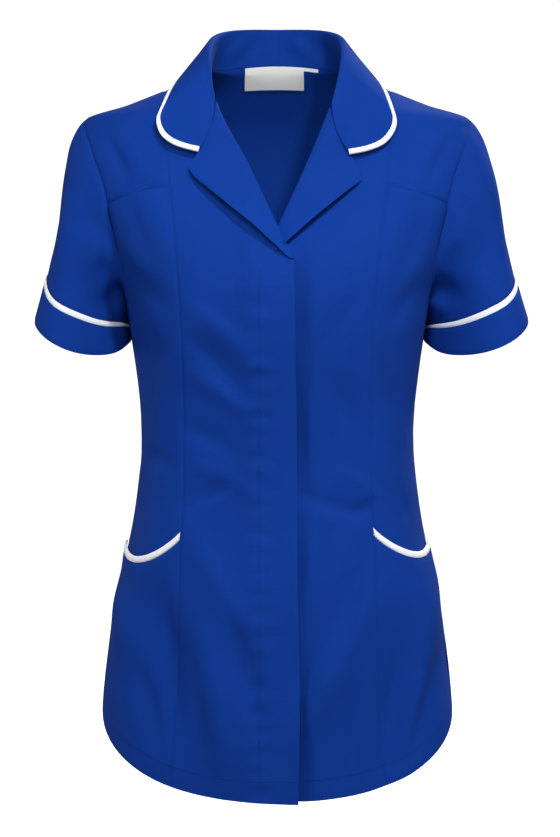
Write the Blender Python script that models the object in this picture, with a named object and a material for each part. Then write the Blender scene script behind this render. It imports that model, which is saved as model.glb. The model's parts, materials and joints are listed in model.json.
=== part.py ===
"""Work tunic with a revers collar, filled out as if worn, with nobody in it.

Metres, +Z up. The front faces -Y, and the wearer's left side is at +X. The origin is the middle of
the neck ring, level with the back neck seam.

The body of the tunic is one smooth surface, worked out from the sections in TORSO. At height z a
section runs round an angle, 0 at the middle of the front and 90 degrees at the side:
    x = a sin(angle),   y = -f cos(angle) (1 + SQUARENESS sin(angle)^2)
where a is the half width and f the depth in front of the side seam. The back uses the back depth.
Each panel is a grid on that surface between its own seam lines, moved out where it laps over
another, and closed into a wall. "right" and "left" are the wearer's.
"""

import bpy
import numpy as np

# Cloth and seams
CLOTH = 0.0015
FOLDED_CLOTH = 0.0012
CUFF_WALL = 0.0022
SEAM_GAP = 0.0003
PIPING_WIDTH = 0.0055
POCKET_PIPING_WIDTH = 0.0078
PIPING_WALL = 0.0020
PIPING_CROWN = 0.0003

# Heights on the body
NECK_POINT_Z = -0.0040
PRINCESS_TOP_Z = -0.0245
SHOULDER_TIP_Z = -0.0515
BREAST_MOUTH_Z = -0.1280
BREAK_Z = -0.2010
UNDERARM_Z = -0.2280
HIP_MOUTH_Z = -0.4630
HIP_MOUTH_SIDE_Z = -0.4740
HEM_LOW_Z = -0.7250
HEM_RISE = 0.0860
HEM_POWER = 1.12
BACK_HEM_LIFT = 0.0030
BACK_NECK_RISE = 0.0090

# Sections of the body: height, half width, depth in front, depth behind
SQUARENESS = 0.25
TORSO = np.array([
    (0.0400, 0.0655, 0.0200, 0.0560),
    (-0.0040, 0.0660, 0.0220, 0.0580),
    (-0.0245, 0.1120, 0.0400, 0.0720),
    (-0.0400, 0.1510, 0.0530, 0.0820),
    (-0.0515, 0.1885, 0.0615, 0.0885),
    (-0.0640, 0.1960, 0.0690, 0.0940),
    (-0.0850, 0.2000, 0.0830, 0.1010),
    (-0.1150, 0.1960, 0.0990, 0.1070),
    (-0.1450, 0.1870, 0.1130, 0.1100),
    (-0.1750, 0.1745, 0.1240, 0.1110),
    (-0.2050, 0.1620, 0.1310, 0.1090),
    (-0.2280, 0.1535, 0.1330, 0.1060),
    (-0.2630, 0.1475, 0.1300, 0.1000),
    (-0.3000, 0.1420, 0.1220, 0.0930),
    (-0.3400, 0.1375, 0.1120, 0.0870),
    (-0.3800, 0.1360, 0.1060, 0.0850),
    (-0.4200, 0.1395, 0.1050, 0.0880),
    (-0.4600, 0.1455, 0.1080, 0.0960),
    (-0.5000, 0.1545, 0.1130, 0.1050),
    (-0.5400, 0.1625, 0.1170, 0.1110),
    (-0.5800, 0.1690, 0.1190, 0.1140),
    (-0.6400, 0.1750, 0.1210, 0.1150),
    (-0.7000, 0.1760, 0.1210, 0.1140),
    (-0.7600, 0.1760, 0.1210, 0.1130),
])
Z_COLUMN, WIDTH_COLUMN, FRONT_COLUMN, BACK_COLUMN = range(4)
STRAIGHT_SHOULDER_Z = -0.0400

# Princess seam: height, distance from the centre line
PRINCESS = np.array([
    (-0.0245, 0.1120),
    (-0.0900, 0.1090),
    (-0.1850, 0.1005),
    (-0.2600, 0.0950),
    (-0.3900, 0.0925),
    (-0.5000, 0.0960),
    (-0.6000, 0.1010),
    (-0.7300, 0.1058),
])

# Armhole: height, angle round the body in front, angle round the body behind
ARMHOLE = np.array([
    (-0.0515, 90.0, 90.0),
    (-0.0625, 78.7, 81.0),
    (-0.0830, 68.6, 74.0),
    (-0.1100, 63.5, 70.0),
    (-0.1300, 62.6, 69.0),
    (-0.1470, 63.6, 69.0),
    (-0.1720, 66.4, 70.5),
    (-0.1960, 70.2, 73.5),
    (-0.2150, 75.8, 78.0),
    (-0.2280, 90.0, 90.0),
])

# Neck seam and roll line of the front: height, distance from the centre line at right and left
NECKLINE = np.array([
    (-0.0040, 0.0660, 0.0660),
    (-0.0230, 0.0650, 0.0600),
    (-0.0400, 0.0610, 0.0545),
    (-0.1043, 0.0300, 0.0295),
    (-0.1696, 0.0000, 0.0000),
    (-0.2010, -0.0160, -0.0145),
])

# Front edges below the break: height, how far the right front laps over the centre line, how far
# the left front runs under it
LAP = np.array([
    (-0.2010, 0.0160, 0.0145),
    (-0.3500, 0.0185, 0.0190),
    (-0.5200, 0.0195, 0.0190),
    (-0.6200, 0.0215, 0.0190),
    (-0.7300, 0.0200, 0.0190),
])
LAP_RAISE = 0.0042
LAP_RAISE_FROM_X = -0.0450
LAP_RAISE_TO_X = -0.0220

# Pocket mouths
BREAST_MOUTH_DROP = 0.0165
BREAST_MOUTH_POWER = 1.5
BREAST_MOUTH_LIFT = 0.0024
BREAST_LIFT_SHARE = 0.20
HIP_MOUTH_DIP = 0.0205
HIP_MOUTH_SKEW = 0.80
HIP_MOUTH_LIFT = 0.0032
HIP_LIFT_SHARE = 0.35
MOUTH_TUCK = 0.0025
BREAST_TUCK_FROM = 0.15
HIP_TUCK_FROM = 0.20
TUCK_FULL_AT = 0.40
MOUTH_FADE = 0.0900

# Sleeve end and cuff hem, as loops round the arm: how far out they reach at right and left and how
# high there, the same at the inner side, half the depth, the dip in front, how far forward the outer
# side is and how far back the inner side
SLEEVE_LOOPS = np.array([
    (0.2300, 0.2365, -0.2140, 0.1475, -0.2590, 0.0520, 0.0145, 0.0150, 0.0300),
    (0.2415, 0.2495, -0.2570, 0.1465, -0.2810, 0.0540, 0.0190, 0.0180, 0.0320),
])
ARMHOLE_GAP = 0.00075

# Way in which a sleeve leaves the armhole: plain part, part on top, part in front and behind
SLEEVE_LEAVES_OUTWARD = (0.45, 0.35, -0.005)
SLEEVE_LEAVES_FORWARD = 0.15
SLEEVE_LEAVES_UP = (-0.44, -0.16, -0.25)
SLEEVE_START_PULL = 0.60
SLEEVE_END_PULL = 1.15
PIPING_PROUD = 0.0010
CUFF_PROUD = 0.0018

# Collar: edge of the fall in front, from the shoulder seam to the gorge, as distance from the
# centre line and height, at right and at left
COLLAR_EDGE = np.array([
    (0.1020, -0.0200, 0.1020, -0.0200),
    (0.1052, -0.0250, 0.1052, -0.0250),
    (0.1090, -0.0330, 0.1090, -0.0335),
    (0.1138, -0.0455, 0.1134, -0.0470),
    (0.1186, -0.0600, 0.1168, -0.0610),
    (0.1145, -0.0740, 0.1140, -0.0725),
    (0.1040, -0.0835, 0.1045, -0.0840),
    (0.0905, -0.0890, 0.0885, -0.0912),
    (0.0769, -0.0924, 0.0701, -0.0952),
])
COLLAR_BACK_EDGE_Z = -0.0260
COLLAR_BACK_HEIGHT = 0.0365
COLLAR_SIDE_HEIGHT = 0.0315
COLLAR_GORGE_HEIGHT = 0.0020
COLLAR_RAISE = 0.0030
COLLAR_HEIGHT_POWER = 2.2
COLLAR_SEAT = 0.0022
COLLAR_SEAT_RUN = 0.20
COLLAR_OVER_BODY = 0.97
ROLL_BACKWARD = 0.0050
ROLL_FORWARD = 0.0035
ROLL_FORWARD_RUN = 0.30
ROLL_BELLY = 0.0030
ROLL_RADIUS = 0.0016
ROLL_ROUNDNESS = 0.60
GORGE_BULGE = 0.0030
GORGE_BULGE_CELLS = 2.0
GORGE_Z = {"right": -0.0385, "left": -0.0440}

# Lapel: the notch end of the gorge, the corner, and the tip where it meets the roll line
LAPEL_POINTS = {
    "right": np.array([(0.0744, -0.0868), (0.0849, -0.1092), (-0.0109, -0.1983)]),
    "left": np.array([(0.0666, -0.0883), (0.0821, -0.1150), (-0.0090, -0.1983)]),
}
LAPEL_END_Z = -0.1990
LAPEL_BELLY = 0.0015
LAPEL_SEAT = 0.0009

# Zip between the two fronts, and the labels at the back of the neck
ZIP_HALF_WIDTH = 0.0110
ZIP_WALL = 0.0010
ZIP_RAISE = 0.0019
LABEL_WALL = 0.0010
LABEL_TOP_Z = 0.0045
LABEL_BOTTOM_Z = -0.0172
LABEL_FROM_X = -0.0335
LABEL_TO_X = 0.0269
TAB_TO_X = 0.0420
TAB_BOTTOM_Z = -0.0005

# Largest folds: where each runs from and to (x, z), half width, depth; ridges are above zero
FOLDS = np.array([
    (-0.080, -0.500, -0.036, -0.720, 0.020, 0.0030),
    (-0.045, -0.520, -0.014, -0.670, 0.018, -0.0030),
    (0.092, -0.440, 0.030, -0.560, 0.020, 0.0025),
    (0.055, -0.570, 0.022, -0.660, 0.018, -0.0025),
    (0.100, -0.430, 0.062, -0.446, 0.010, -0.0020),
    (-0.130, -0.520, -0.118, -0.640, 0.022, -0.0025),
    (0.132, -0.520, 0.120, -0.640, 0.022, -0.0025),
])

# Grids: cells across and down each panel
CENTRE_COLUMNS = 6
SIDE_COLUMNS = 6
BACK_COLUMNS = 16
SHOULDER_ROWS = 6
BREAK_ROWS = 3
WAIST_ROWS = 10
SKIRT_ROWS = 9
UNDERARM_ROWS = 5
BACK_ARMHOLE_ROWS = 9
SLEEVE_ROWS = 7
CUFF_ROWS = 3
COLLAR_BACK_CELLS = 6
COLLAR_FRONT_CELLS = 8
LAPEL_COLUMNS = 4
LAPEL_ROWS = 11
ROW_CROWDING = 1.7
CENTRE_CROWDING = 1.35

ROYAL_BLUE = (0.006, 0.034, 0.255)
PIPING_WHITE = (0.86, 0.88, 0.90)
LABEL_WHITE = (0.84, 0.84, 0.82)
ZIP_BLUE = (0.004, 0.020, 0.150)
CLOTH_ROUGHNESS = 0.75
TRIM_ROUGHNESS = 0.65

SMOOTH_BELOW = 50.0
NORMAL_STEP_ANGLE = 0.01
NORMAL_STEP_Z = 0.0015


def clear_scene():
    for found in list(bpy.data.objects):
        bpy.data.objects.remove(found, do_unlink=True)


def material(name, colour, roughness):
    made = bpy.data.materials.new(name)
    made.use_nodes = True
    shader = made.node_tree.nodes["Principled BSDF"]
    shader.inputs["Base Color"].default_value = (*colour, 1.0)
    shader.inputs["Roughness"].default_value = roughness
    shader.inputs["Metallic"].default_value = 0.0
    return made


def smoothstep(low, high, value):
    """0 below low, 1 above high, and 3t^2 - 2t^3 between them."""
    t = np.clip((value - low) / (high - low), 0.0, 1.0)
    return t * t * (3.0 - 2.0 * t)


def curve_through(table, column, z):
    """A column of a table at height z: a smooth cubic through its rows, with the slope at each
    row the mean of the slopes beside it."""
    heights = table[::-1, Z_COLUMN]
    values = table[::-1, column]
    slopes = np.gradient(values, heights)
    z = np.clip(z, heights[0], heights[-1])
    row = np.clip(np.searchsorted(heights, z) - 1, 0, len(heights) - 2)
    span = heights[row + 1] - heights[row]
    t = (z - heights[row]) / span
    return (
        values[row] * (1 + 2 * t) * (1 - t) ** 2
        + slopes[row] * span * t * (1 - t) ** 2
        + values[row + 1] * t * t * (3 - 2 * t)
        + slopes[row + 1] * span * t * t * (t - 1)
    )


def half_width(z):
    """Half width of the body at height z. The inner part of the shoulder seam is straight."""
    straight = np.interp(z, TORSO[::-1, Z_COLUMN], TORSO[::-1, WIDTH_COLUMN])
    curved = curve_through(TORSO, WIDTH_COLUMN, z)
    return np.where(z > STRAIGHT_SHOULDER_Z, straight, curved)


def angle_at(x, z):
    """Angle round the body, in radians, of the point at distance x from the centre line."""
    return np.arcsin(np.clip(x / half_width(z), -1.0, 1.0))


def bare_body(angle, z, back):
    """The plain body surface, before any fold."""
    depth = curve_through(TORSO, BACK_COLUMN if back else FRONT_COLUMN, z)
    x = half_width(z) * np.sin(angle)
    y = depth * np.cos(angle) * (1.0 + SQUARENESS * np.sin(angle) ** 2)
    return np.stack([x, y if back else -y, z + 0.0 * x], axis=-1)


def outward(angle, z, back):
    """Unit normal of the plain body surface, from differences a little way either side."""
    step_angle, step_z = NORMAL_STEP_ANGLE, NORMAL_STEP_Z
    across = bare_body(angle + step_angle, z, back) - bare_body(angle - step_angle, z, back)
    up = bare_body(angle, z + step_z, back) - bare_body(angle, z - step_z, back)
    normal = np.cross(across, up)
    if back:
        normal = -normal
    return normal / np.linalg.norm(normal, axis=-1, keepdims=True)


def fold_depth(point):
    """How far the folds push the front out at each point: each is a soft ridge or trough along a
    line, as a bell across the line and half a sine wave along it."""
    out = np.zeros(point.shape[:-1])
    for x0, z0, x1, z1, half, depth in FOLDS:
        along = np.array([x1 - x0, z1 - z0])
        length = np.linalg.norm(along)
        along = along / length
        offset = np.stack([point[..., 0] - x0, point[..., 2] - z0], axis=-1)
        run = np.clip(offset @ along / length, 0.0, 1.0)
        aside = offset @ np.array([-along[1], along[0]])
        out = out + depth * np.sin(np.pi * run) * np.exp(-((aside / half) ** 2))
    return out


def body(angle, z, raised=0.0, back=False):
    """Point of the body at an angle and height, raised along the normal."""
    point = bare_body(angle, z, back)
    lift = raised if back else raised + fold_depth(point)
    return point + outward(angle, z, back) * np.asarray(lift)[..., None]


def grid_faces(rows, columns, first, closed):
    """Quads of a grid of points, row by row. closed joins the last column to the first."""
    row, column = np.meshgrid(np.arange(rows - 1), np.arange(columns if closed else columns - 1),
                              indexing="ij")
    after = (column + 1) % columns
    quads = [row * columns + column, row * columns + after,
             (row + 1) * columns + after, (row + 1) * columns + column]
    return first + np.stack([q.ravel() for q in quads], axis=-1)


def wall(name, outer, inner, made_of, closed=False):
    """A closed solid between two grids of points, each rows x columns x 3. The outer grid's rows
    run down and its columns run to the right, seen from outside."""
    rows, columns = outer.shape[:2]
    count = rows * columns
    faces = [grid_faces(rows, columns, 0, closed)[:, ::-1], grid_faces(rows, columns, count, closed)]
    rims = [np.arange(columns), (rows - 1) * columns + np.arange(columns)[::-1]]
    if closed:
        rims = [np.append(rims[0], rims[0][0]), np.append(rims[1], rims[1][0])]
    else:
        rims.append(np.arange(rows)[::-1] * columns)
        rims.append(np.arange(rows) * columns + columns - 1)
    for rim in rims:
        faces.append(np.stack([rim[:-1], rim[1:], rim[1:] + count, rim[:-1] + count], axis=-1))
    mesh = bpy.data.meshes.new(name)
    points = np.concatenate([outer.reshape(-1, 3), inner.reshape(-1, 3)])
    mesh.from_pydata(points.tolist(), [], np.concatenate(faces).tolist())
    mesh.materials.append(made_of)
    mesh.shade_smooth()
    mesh.set_sharp_from_angle(angle=np.radians(SMOOTH_BELOW))
    made = bpy.data.objects.new(name, mesh)
    bpy.context.scene.collection.objects.link(made)
    return made


def body_panel(name, angle, z, made_of, raised=0.0, back=False, thick=CLOTH):
    """A wall on the body surface, from grids of angles and heights."""
    raised = raised + 0.0 * angle
    outer = body(angle, z, raised, back)
    inner = body(angle, z, raised - thick, back)
    if back:
        outer, inner = outer[:, ::-1], inner[:, ::-1]
    return wall(name, outer, inner, made_of)


def spaced(start, end, cells, power=1.0):
    """Heights from start to end, crowded towards the start where power is over 1."""
    return start + (end - start) * np.linspace(0.0, 1.0, cells + 1) ** power


def inset(angle, z, back=False):
    """The four edges of a panel's grid moved in by half a seam gap."""
    for edge, beside in ((0, 1), (-1, -2)):
        for flip in (False, True):
            a, h = (angle.T, z.T) if flip else (angle, z)
            apart = np.linalg.norm(body(a[beside], h[beside], 0.0, back)
                                   - body(a[edge], h[edge], 0.0, back), axis=-1)
            share = 0.5 * SEAM_GAP / apart
            a[edge] += share * (a[beside] - a[edge])
            h[edge] += share * (h[beside] - h[edge])
    return angle, z


def hem_height(angle, back=False):
    """The curved hem: lowest in the middle, highest at the side seams."""
    low = HEM_LOW_Z + (BACK_HEM_LIFT if back else 0.0)
    rise = HEM_RISE - (BACK_HEM_LIFT if back else 0.0)
    return low + rise * (1.0 - np.cos(angle)) ** HEM_POWER


def breast_mouth_height(across):
    """Height of the breast pocket mouth, from the princess seam (0) to the armhole (1)."""
    return BREAST_MOUTH_Z - BREAST_MOUTH_DROP * across ** BREAST_MOUTH_POWER


def hip_mouth_height(across):
    """Height of the hip pocket mouth, from the princess seam (0) to the side seam (1)."""
    straight = HIP_MOUTH_Z + (HIP_MOUTH_SIDE_Z - HIP_MOUTH_Z) * across
    return straight - HIP_MOUTH_DIP * np.sin(np.pi * across ** HIP_MOUTH_SKEW)


def hip_mouth_lift(across):
    """How far the hip pocket stands off the front beneath it, from nothing at the princess seam."""
    return HIP_MOUTH_LIFT * np.sin(0.5 * np.pi * np.minimum(across / HIP_LIFT_SHARE, 1.0))


def breast_mouth_lift(across):
    """How far the breast pocket mouth stands off, nothing at both its ends."""
    ends = np.minimum(np.minimum(across, 1.0 - across) / BREAST_LIFT_SHARE, 1.0)
    return BREAST_MOUTH_LIFT * np.sin(0.5 * np.pi * ends)


def lap_raise(x):
    """How far the right front is raised over the left one, at true x."""
    return LAP_RAISE * smoothstep(LAP_RAISE_FROM_X, LAP_RAISE_TO_X, x)


def princess_levels():
    """Heights of the rows down the princess seam, from the shoulder to the hip pocket."""
    return np.concatenate([
        spaced(PRINCESS_TOP_Z, BREAST_MOUTH_Z, SHOULDER_ROWS, ROW_CROWDING),
        spaced(BREAST_MOUTH_Z, BREAK_Z, BREAK_ROWS)[1:],
        spaced(BREAK_Z, HIP_MOUTH_Z, WAIST_ROWS)[1:],
    ])


def princess_angle(z):
    return angle_at(curve_through(PRINCESS, 1, z), z)


def armhole_levels(behind=False):
    """Heights of the armhole's points, in front or behind, from the shoulder tip to the underarm."""
    if behind:
        turn = np.linspace(0.0, np.pi, BACK_ARMHOLE_ROWS + 1)
        return SHOULDER_TIP_Z + (UNDERARM_Z - SHOULDER_TIP_Z) * 0.5 * (1.0 - np.cos(turn))
    mouth = breast_mouth_height(1.0)
    turn = np.linspace(0.0, 0.5 * np.pi, UNDERARM_ROWS + 1)
    above = spaced(SHOULDER_TIP_Z, mouth, SHOULDER_ROWS, ROW_CROWDING)
    return np.concatenate([above, (mouth + (UNDERARM_Z - mouth) * np.sin(turn))[1:]])


def armhole_angle(z, behind=False):
    return np.radians(np.interp(z, ARMHOLE[::-1, 0], ARMHOLE[::-1, 2 if behind else 1]))


def side_levels():
    """Heights of the rows down the side seam, from the underarm to the hip pocket."""
    rows = BREAK_ROWS + WAIST_ROWS - UNDERARM_ROWS
    return spaced(UNDERARM_Z, HIP_MOUTH_SIDE_Z, rows)


def front_panel(name, side, angle, z, made_of, raised=None, thick=CLOTH):
    """A front panel from grids that run outwards from the centre line. The right one is the left
    one turned over, but for what laps."""
    if raised is None:
        raised = 0.0 * angle
    angle, z = inset(angle.copy(), z.copy())
    if side == "right":
        angle, z, raised = -angle[:, ::-1], z[:, ::-1], raised[:, ::-1]
        raised = raised + lap_raise(half_width(z) * np.sin(angle))
    return body_panel(f"{name}_{side}", angle, z, made_of, raised, thick=thick)


def between(first, last, across):
    """Straight steps across each row, from a column of first values to one of last values."""
    return first[:, None] + (last - first)[:, None] * across[None, :]


def centre_front(side, made_of):
    """The panel from the princess seam to the roll line, and below the break to the front edge."""
    column = 1 if side == "right" else 2
    seam = princess_levels()
    inner = seam.copy()
    inner[:SHOULDER_ROWS + 1] = spaced(NECK_POINT_Z, BREAST_MOUTH_Z, SHOULDER_ROWS, ROW_CROWDING)
    inner_x = np.where(inner >= BREAK_Z, curve_through(NECKLINE, column, inner),
                       -curve_through(LAP, column, inner))
    inner_angle = angle_at(inner_x, inner)
    inner_angle[0] = 0.5 * np.pi
    seam_angle = princess_angle(seam)
    seam_angle[0] = 0.5 * np.pi
    across = spaced(0.0, 1.0, CENTRE_COLUMNS, CENTRE_CROWDING)
    top = between(inner_angle, seam_angle, across)
    top_z = between(inner, seam, across)
    down = np.linspace(0.0, 1.0, SKIRT_ROWS + 1)[1:]
    low_z = HIP_MOUTH_Z + (HEM_LOW_Z - HIP_MOUTH_Z) * down
    skirt = between(angle_at(-curve_through(LAP, column, low_z), low_z), princess_angle(low_z), across)
    skirt_z = HIP_MOUTH_Z + (hem_height(skirt) - HIP_MOUTH_Z) * down[:, None]
    front_panel("centre_front", side, np.concatenate([top, skirt]),
                np.concatenate([top_z, skirt_z]), made_of)


def upper_side_front(side, made_of):
    """The panel above the breast pocket mouth. Its lower edge tucks in behind the mouth."""
    rows = SHOULDER_ROWS + 1
    seam, arm = princess_levels()[:rows], armhole_levels()[:rows]
    across = np.linspace(0.0, 1.0, SIDE_COLUMNS + 1)
    seam_angle = princess_angle(seam)
    seam_angle[0] = 0.5 * np.pi
    angle = between(seam_angle, armhole_angle(arm), across)
    z = between(seam, arm, across)
    down = np.linspace(0.0, 1.0, rows)[:, None] ** 3
    tuck = (MOUTH_TUCK * smoothstep(BREAST_TUCK_FROM, TUCK_FULL_AT, across)
            * smoothstep(BREAST_TUCK_FROM, TUCK_FULL_AT, 1.0 - across))
    z = z + (breast_mouth_height(across) - z[-1] - tuck) * down
    front_panel("upper_side_front", side, angle, z, made_of)


def side_front(side, made_of):
    """The panel from the breast pocket mouth to the hip pocket mouth, round the underarm."""
    seam = princess_levels()[SHOULDER_ROWS:]
    arm = armhole_levels()[SHOULDER_ROWS:]
    outer = np.concatenate([arm, side_levels()[1:]])
    outer_angle = np.concatenate([armhole_angle(arm), np.full(len(outer) - len(arm), 0.5 * np.pi)])
    across = np.linspace(0.0, 1.0, SIDE_COLUMNS + 1)
    angle = between(princess_angle(seam), outer_angle, across)
    z = between(seam, outer, across)
    down = np.linspace(0.0, 1.0, len(seam))[:, None]
    tuck = MOUTH_TUCK * smoothstep(HIP_TUCK_FROM, TUCK_FULL_AT, across)
    z = (z + (breast_mouth_height(across) - z[0]) * (1.0 - down) ** 3
         + (hip_mouth_height(across) - z[-1] - tuck) * down ** 3)
    raised = breast_mouth_lift(across) * (1.0 - down) ** 6
    front_panel("side_front", side, angle, z, made_of, raised + 0.0 * z)


def pocket_front(side, made_of, piping_made_of):
    """The panel from the hip pocket mouth to the hem, and the piping along the mouth."""
    across = np.linspace(0.0, 1.0, SIDE_COLUMNS + 1)
    mouth_angle = between(princess_angle(np.array([HIP_MOUTH_Z])), np.array([0.5 * np.pi]), across)[0]
    mouth = hip_mouth_height(across)
    lift = hip_mouth_lift(across)
    steps = np.linspace(0.0, 1.0, 3)[:, None]
    crown = PIPING_CROWN * np.sin(np.pi * steps)
    front_panel("pocket_piping", side, mouth_angle + 0.0 * steps,
                mouth - POCKET_PIPING_WIDTH * steps, piping_made_of, lift + crown, PIPING_WALL)
    down = np.linspace(0.0, 1.0, SKIRT_ROWS + 1)[:, None]
    top = hip_mouth_height(across) - POCKET_PIPING_WIDTH
    seam_z = top[0] + (HEM_LOW_Z - top[0]) * down[:, 0]
    angle = between(princess_angle(seam_z), np.full(len(seam_z), 0.5 * np.pi), across)
    z = top + (hem_height(angle) - top) * down
    fade = 1.0 - smoothstep(0.0, MOUTH_FADE, top - z)
    front_panel("pocket_front", side, angle, z, made_of, hip_mouth_lift(across) * fade)


def back(made_of):
    """The back, in one piece from side seam to side seam, with a curved neck and hem."""
    shoulder = np.concatenate([spaced(NECK_POINT_Z, PRINCESS_TOP_Z, SHOULDER_ROWS // 2),
                               spaced(PRINCESS_TOP_Z, SHOULDER_TIP_Z, SHOULDER_ROWS // 2)[1:]])
    arm = armhole_levels(behind=True)
    sides = side_levels()
    low = spaced(HIP_MOUTH_SIDE_Z, hem_height(0.5 * np.pi, True), SKIRT_ROWS - 2)
    z = np.concatenate([shoulder, arm[1:], sides[1:], low[1:]])
    edge = np.full(len(z), 0.5 * np.pi)
    edge[len(shoulder):len(shoulder) + len(arm) - 1] = armhole_angle(arm[1:], True)
    across = np.linspace(-1.0, 1.0, BACK_COLUMNS + 1)
    angle = edge[:, None] * across
    z = z[:, None] + 0.0 * angle
    sag = smoothstep(UNDERARM_Z, hem_height(0.5 * np.pi, True), z[:, :1]) ** 1.5
    z = z + (hem_height(angle, True) - hem_height(0.5 * np.pi, True)) * sag
    neck = (1.0 - smoothstep(0.0, 1.0, np.linspace(0.0, len(z) / SHOULDER_ROWS, len(z))))[:, None]
    z = z + BACK_NECK_RISE * np.cos(angle) ** 2 * neck
    angle, z = inset(angle, z, True)
    body_panel("back", angle, z, made_of, back=True)


def grid_normals(points, closed=False):
    """Unit normals of a grid of points, away from the side its columns and rows turn round."""
    down = np.gradient(points, axis=0)
    if closed:
        right = np.roll(points, -1, axis=1) - np.roll(points, 1, axis=1)
    else:
        right = np.gradient(points, axis=1)
    normal = np.cross(down, right)
    return normal / np.linalg.norm(normal, axis=-1, keepdims=True)


def sheet(name, points, thick, made_of, raised=0.0, closed=False):
    """A wall from a free grid of points: its outer side is raised off them."""
    normal = grid_normals(points, closed)
    raised = np.asarray(raised + 0.0 * points[..., 0])[..., None]
    return wall(name, points + normal * raised, points + normal * (raised - thick), made_of, closed)


def mirrored(points, side):
    """A loop or grid made for the left side, for this side, with its columns still to the right."""
    if side == "left":
        return points[..., ::-1, :]
    return points * np.array([-1.0, 1.0, 1.0])


def armhole_loop():
    """Points round the armhole, from the shoulder tip to the front, the underarm and the back, and
    the share of the way round of each."""
    front, behind = armhole_levels(), armhole_levels(behind=True)
    ahead = body(armhole_angle(front), front)
    after = body(armhole_angle(behind, True), behind, 0.0, True)[::-1]
    halves = []
    for half in (ahead, after):
        run = np.cumsum(np.append(0.0, np.linalg.norm(np.diff(half, axis=0), axis=1)))
        halves.append(run / run[-1])
    turn = np.pi * np.concatenate([halves[0][:-1], 1.0 + halves[1][:-1]])
    return np.concatenate([ahead[:-1], after[:-1]]), turn


def arm_loop(row, side, turn):
    """The sleeve end (row 0) or cuff hem (row 1): an ellipse, tilted and low in front."""
    (reach_right, reach_left, out_z, in_x, in_z, half_depth, dip, forward,
     in_back) = SLEEVE_LOOPS[row]
    far = np.array([reach_right if side == "right" else reach_left, -forward, out_z])
    near = np.array([in_x, in_back, in_z])
    ahead = np.array([0.0, -half_depth, -dip])
    return (0.5 * (far + near) + np.cos(turn)[:, None] * 0.5 * (far - near)
            + np.sin(turn)[:, None] * ahead)


def sleeve_and_cuff(side, made_of, piping_made_of):
    """A sleeve is drawn from the armhole to the sleeve end along cubic curves. The piping and the
    cuff carry straight on to the cuff hem."""
    start, turn = armhole_loop()
    end, hem = arm_loop(0, side, turn), arm_loop(1, side, turn)
    reach = np.linalg.norm(end - start, axis=1)[:, None]
    top = 0.5 * (1.0 + np.cos(turn))
    shares = np.stack([1.0 + 0.0 * turn, top, np.sin(turn) ** 2], axis=-1)
    leave = np.stack([shares @ SLEEVE_LEAVES_OUTWARD, -SLEEVE_LEAVES_FORWARD * np.sin(turn),
                      shares @ SLEEVE_LEAVES_UP], axis=-1)
    arrive = hem - end
    arrive = arrive / np.linalg.norm(arrive, axis=1)[:, None]
    start = start + leave * ARMHOLE_GAP
    rows = np.linspace(0.0, 1.0, SLEEVE_ROWS + 1)[:, None, None]
    points = (start * (1 + 2 * rows) * (1 - rows) ** 2 + end * rows ** 2 * (3 - 2 * rows)
              + SLEEVE_START_PULL * reach * leave * rows * (1 - rows) ** 2
              + SLEEVE_END_PULL * reach * arrive * rows ** 2 * (rows - 1))
    sheet(f"sleeve_{side}", mirrored(points, side), CLOTH, made_of, closed=True)
    depth = np.linalg.norm(hem - end, axis=1).mean()
    gap, edge = 2.0 * SEAM_GAP / depth, PIPING_WIDTH / depth
    across = np.linspace(gap, edge, 3)[:, None, None]
    crown = PIPING_PROUD + PIPING_CROWN * np.sin(np.linspace(0.0, np.pi, 3))[:, None]
    sheet(f"cuff_piping_{side}", mirrored(end + (hem - end) * across, side), PIPING_WALL,
          piping_made_of, crown, closed=True)
    across = np.linspace(edge + gap, 1.0, CUFF_ROWS + 1)[:, None, None]
    sheet(f"cuff_{side}", mirrored(end + (hem - end) * across, side), CUFF_WALL, made_of,
          CUFF_PROUD, closed=True)


def body_at(x, z, raised=0.0):
    """Point of the front at distance x from the centre line and height z."""
    return body(angle_at(x, z), z, raised)


def neck_height(angle):
    """Height of the back neck seam, round from the middle (0) to the shoulder (90 degrees)."""
    return NECK_POINT_Z + BACK_NECK_RISE * np.cos(angle) ** 2


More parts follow.
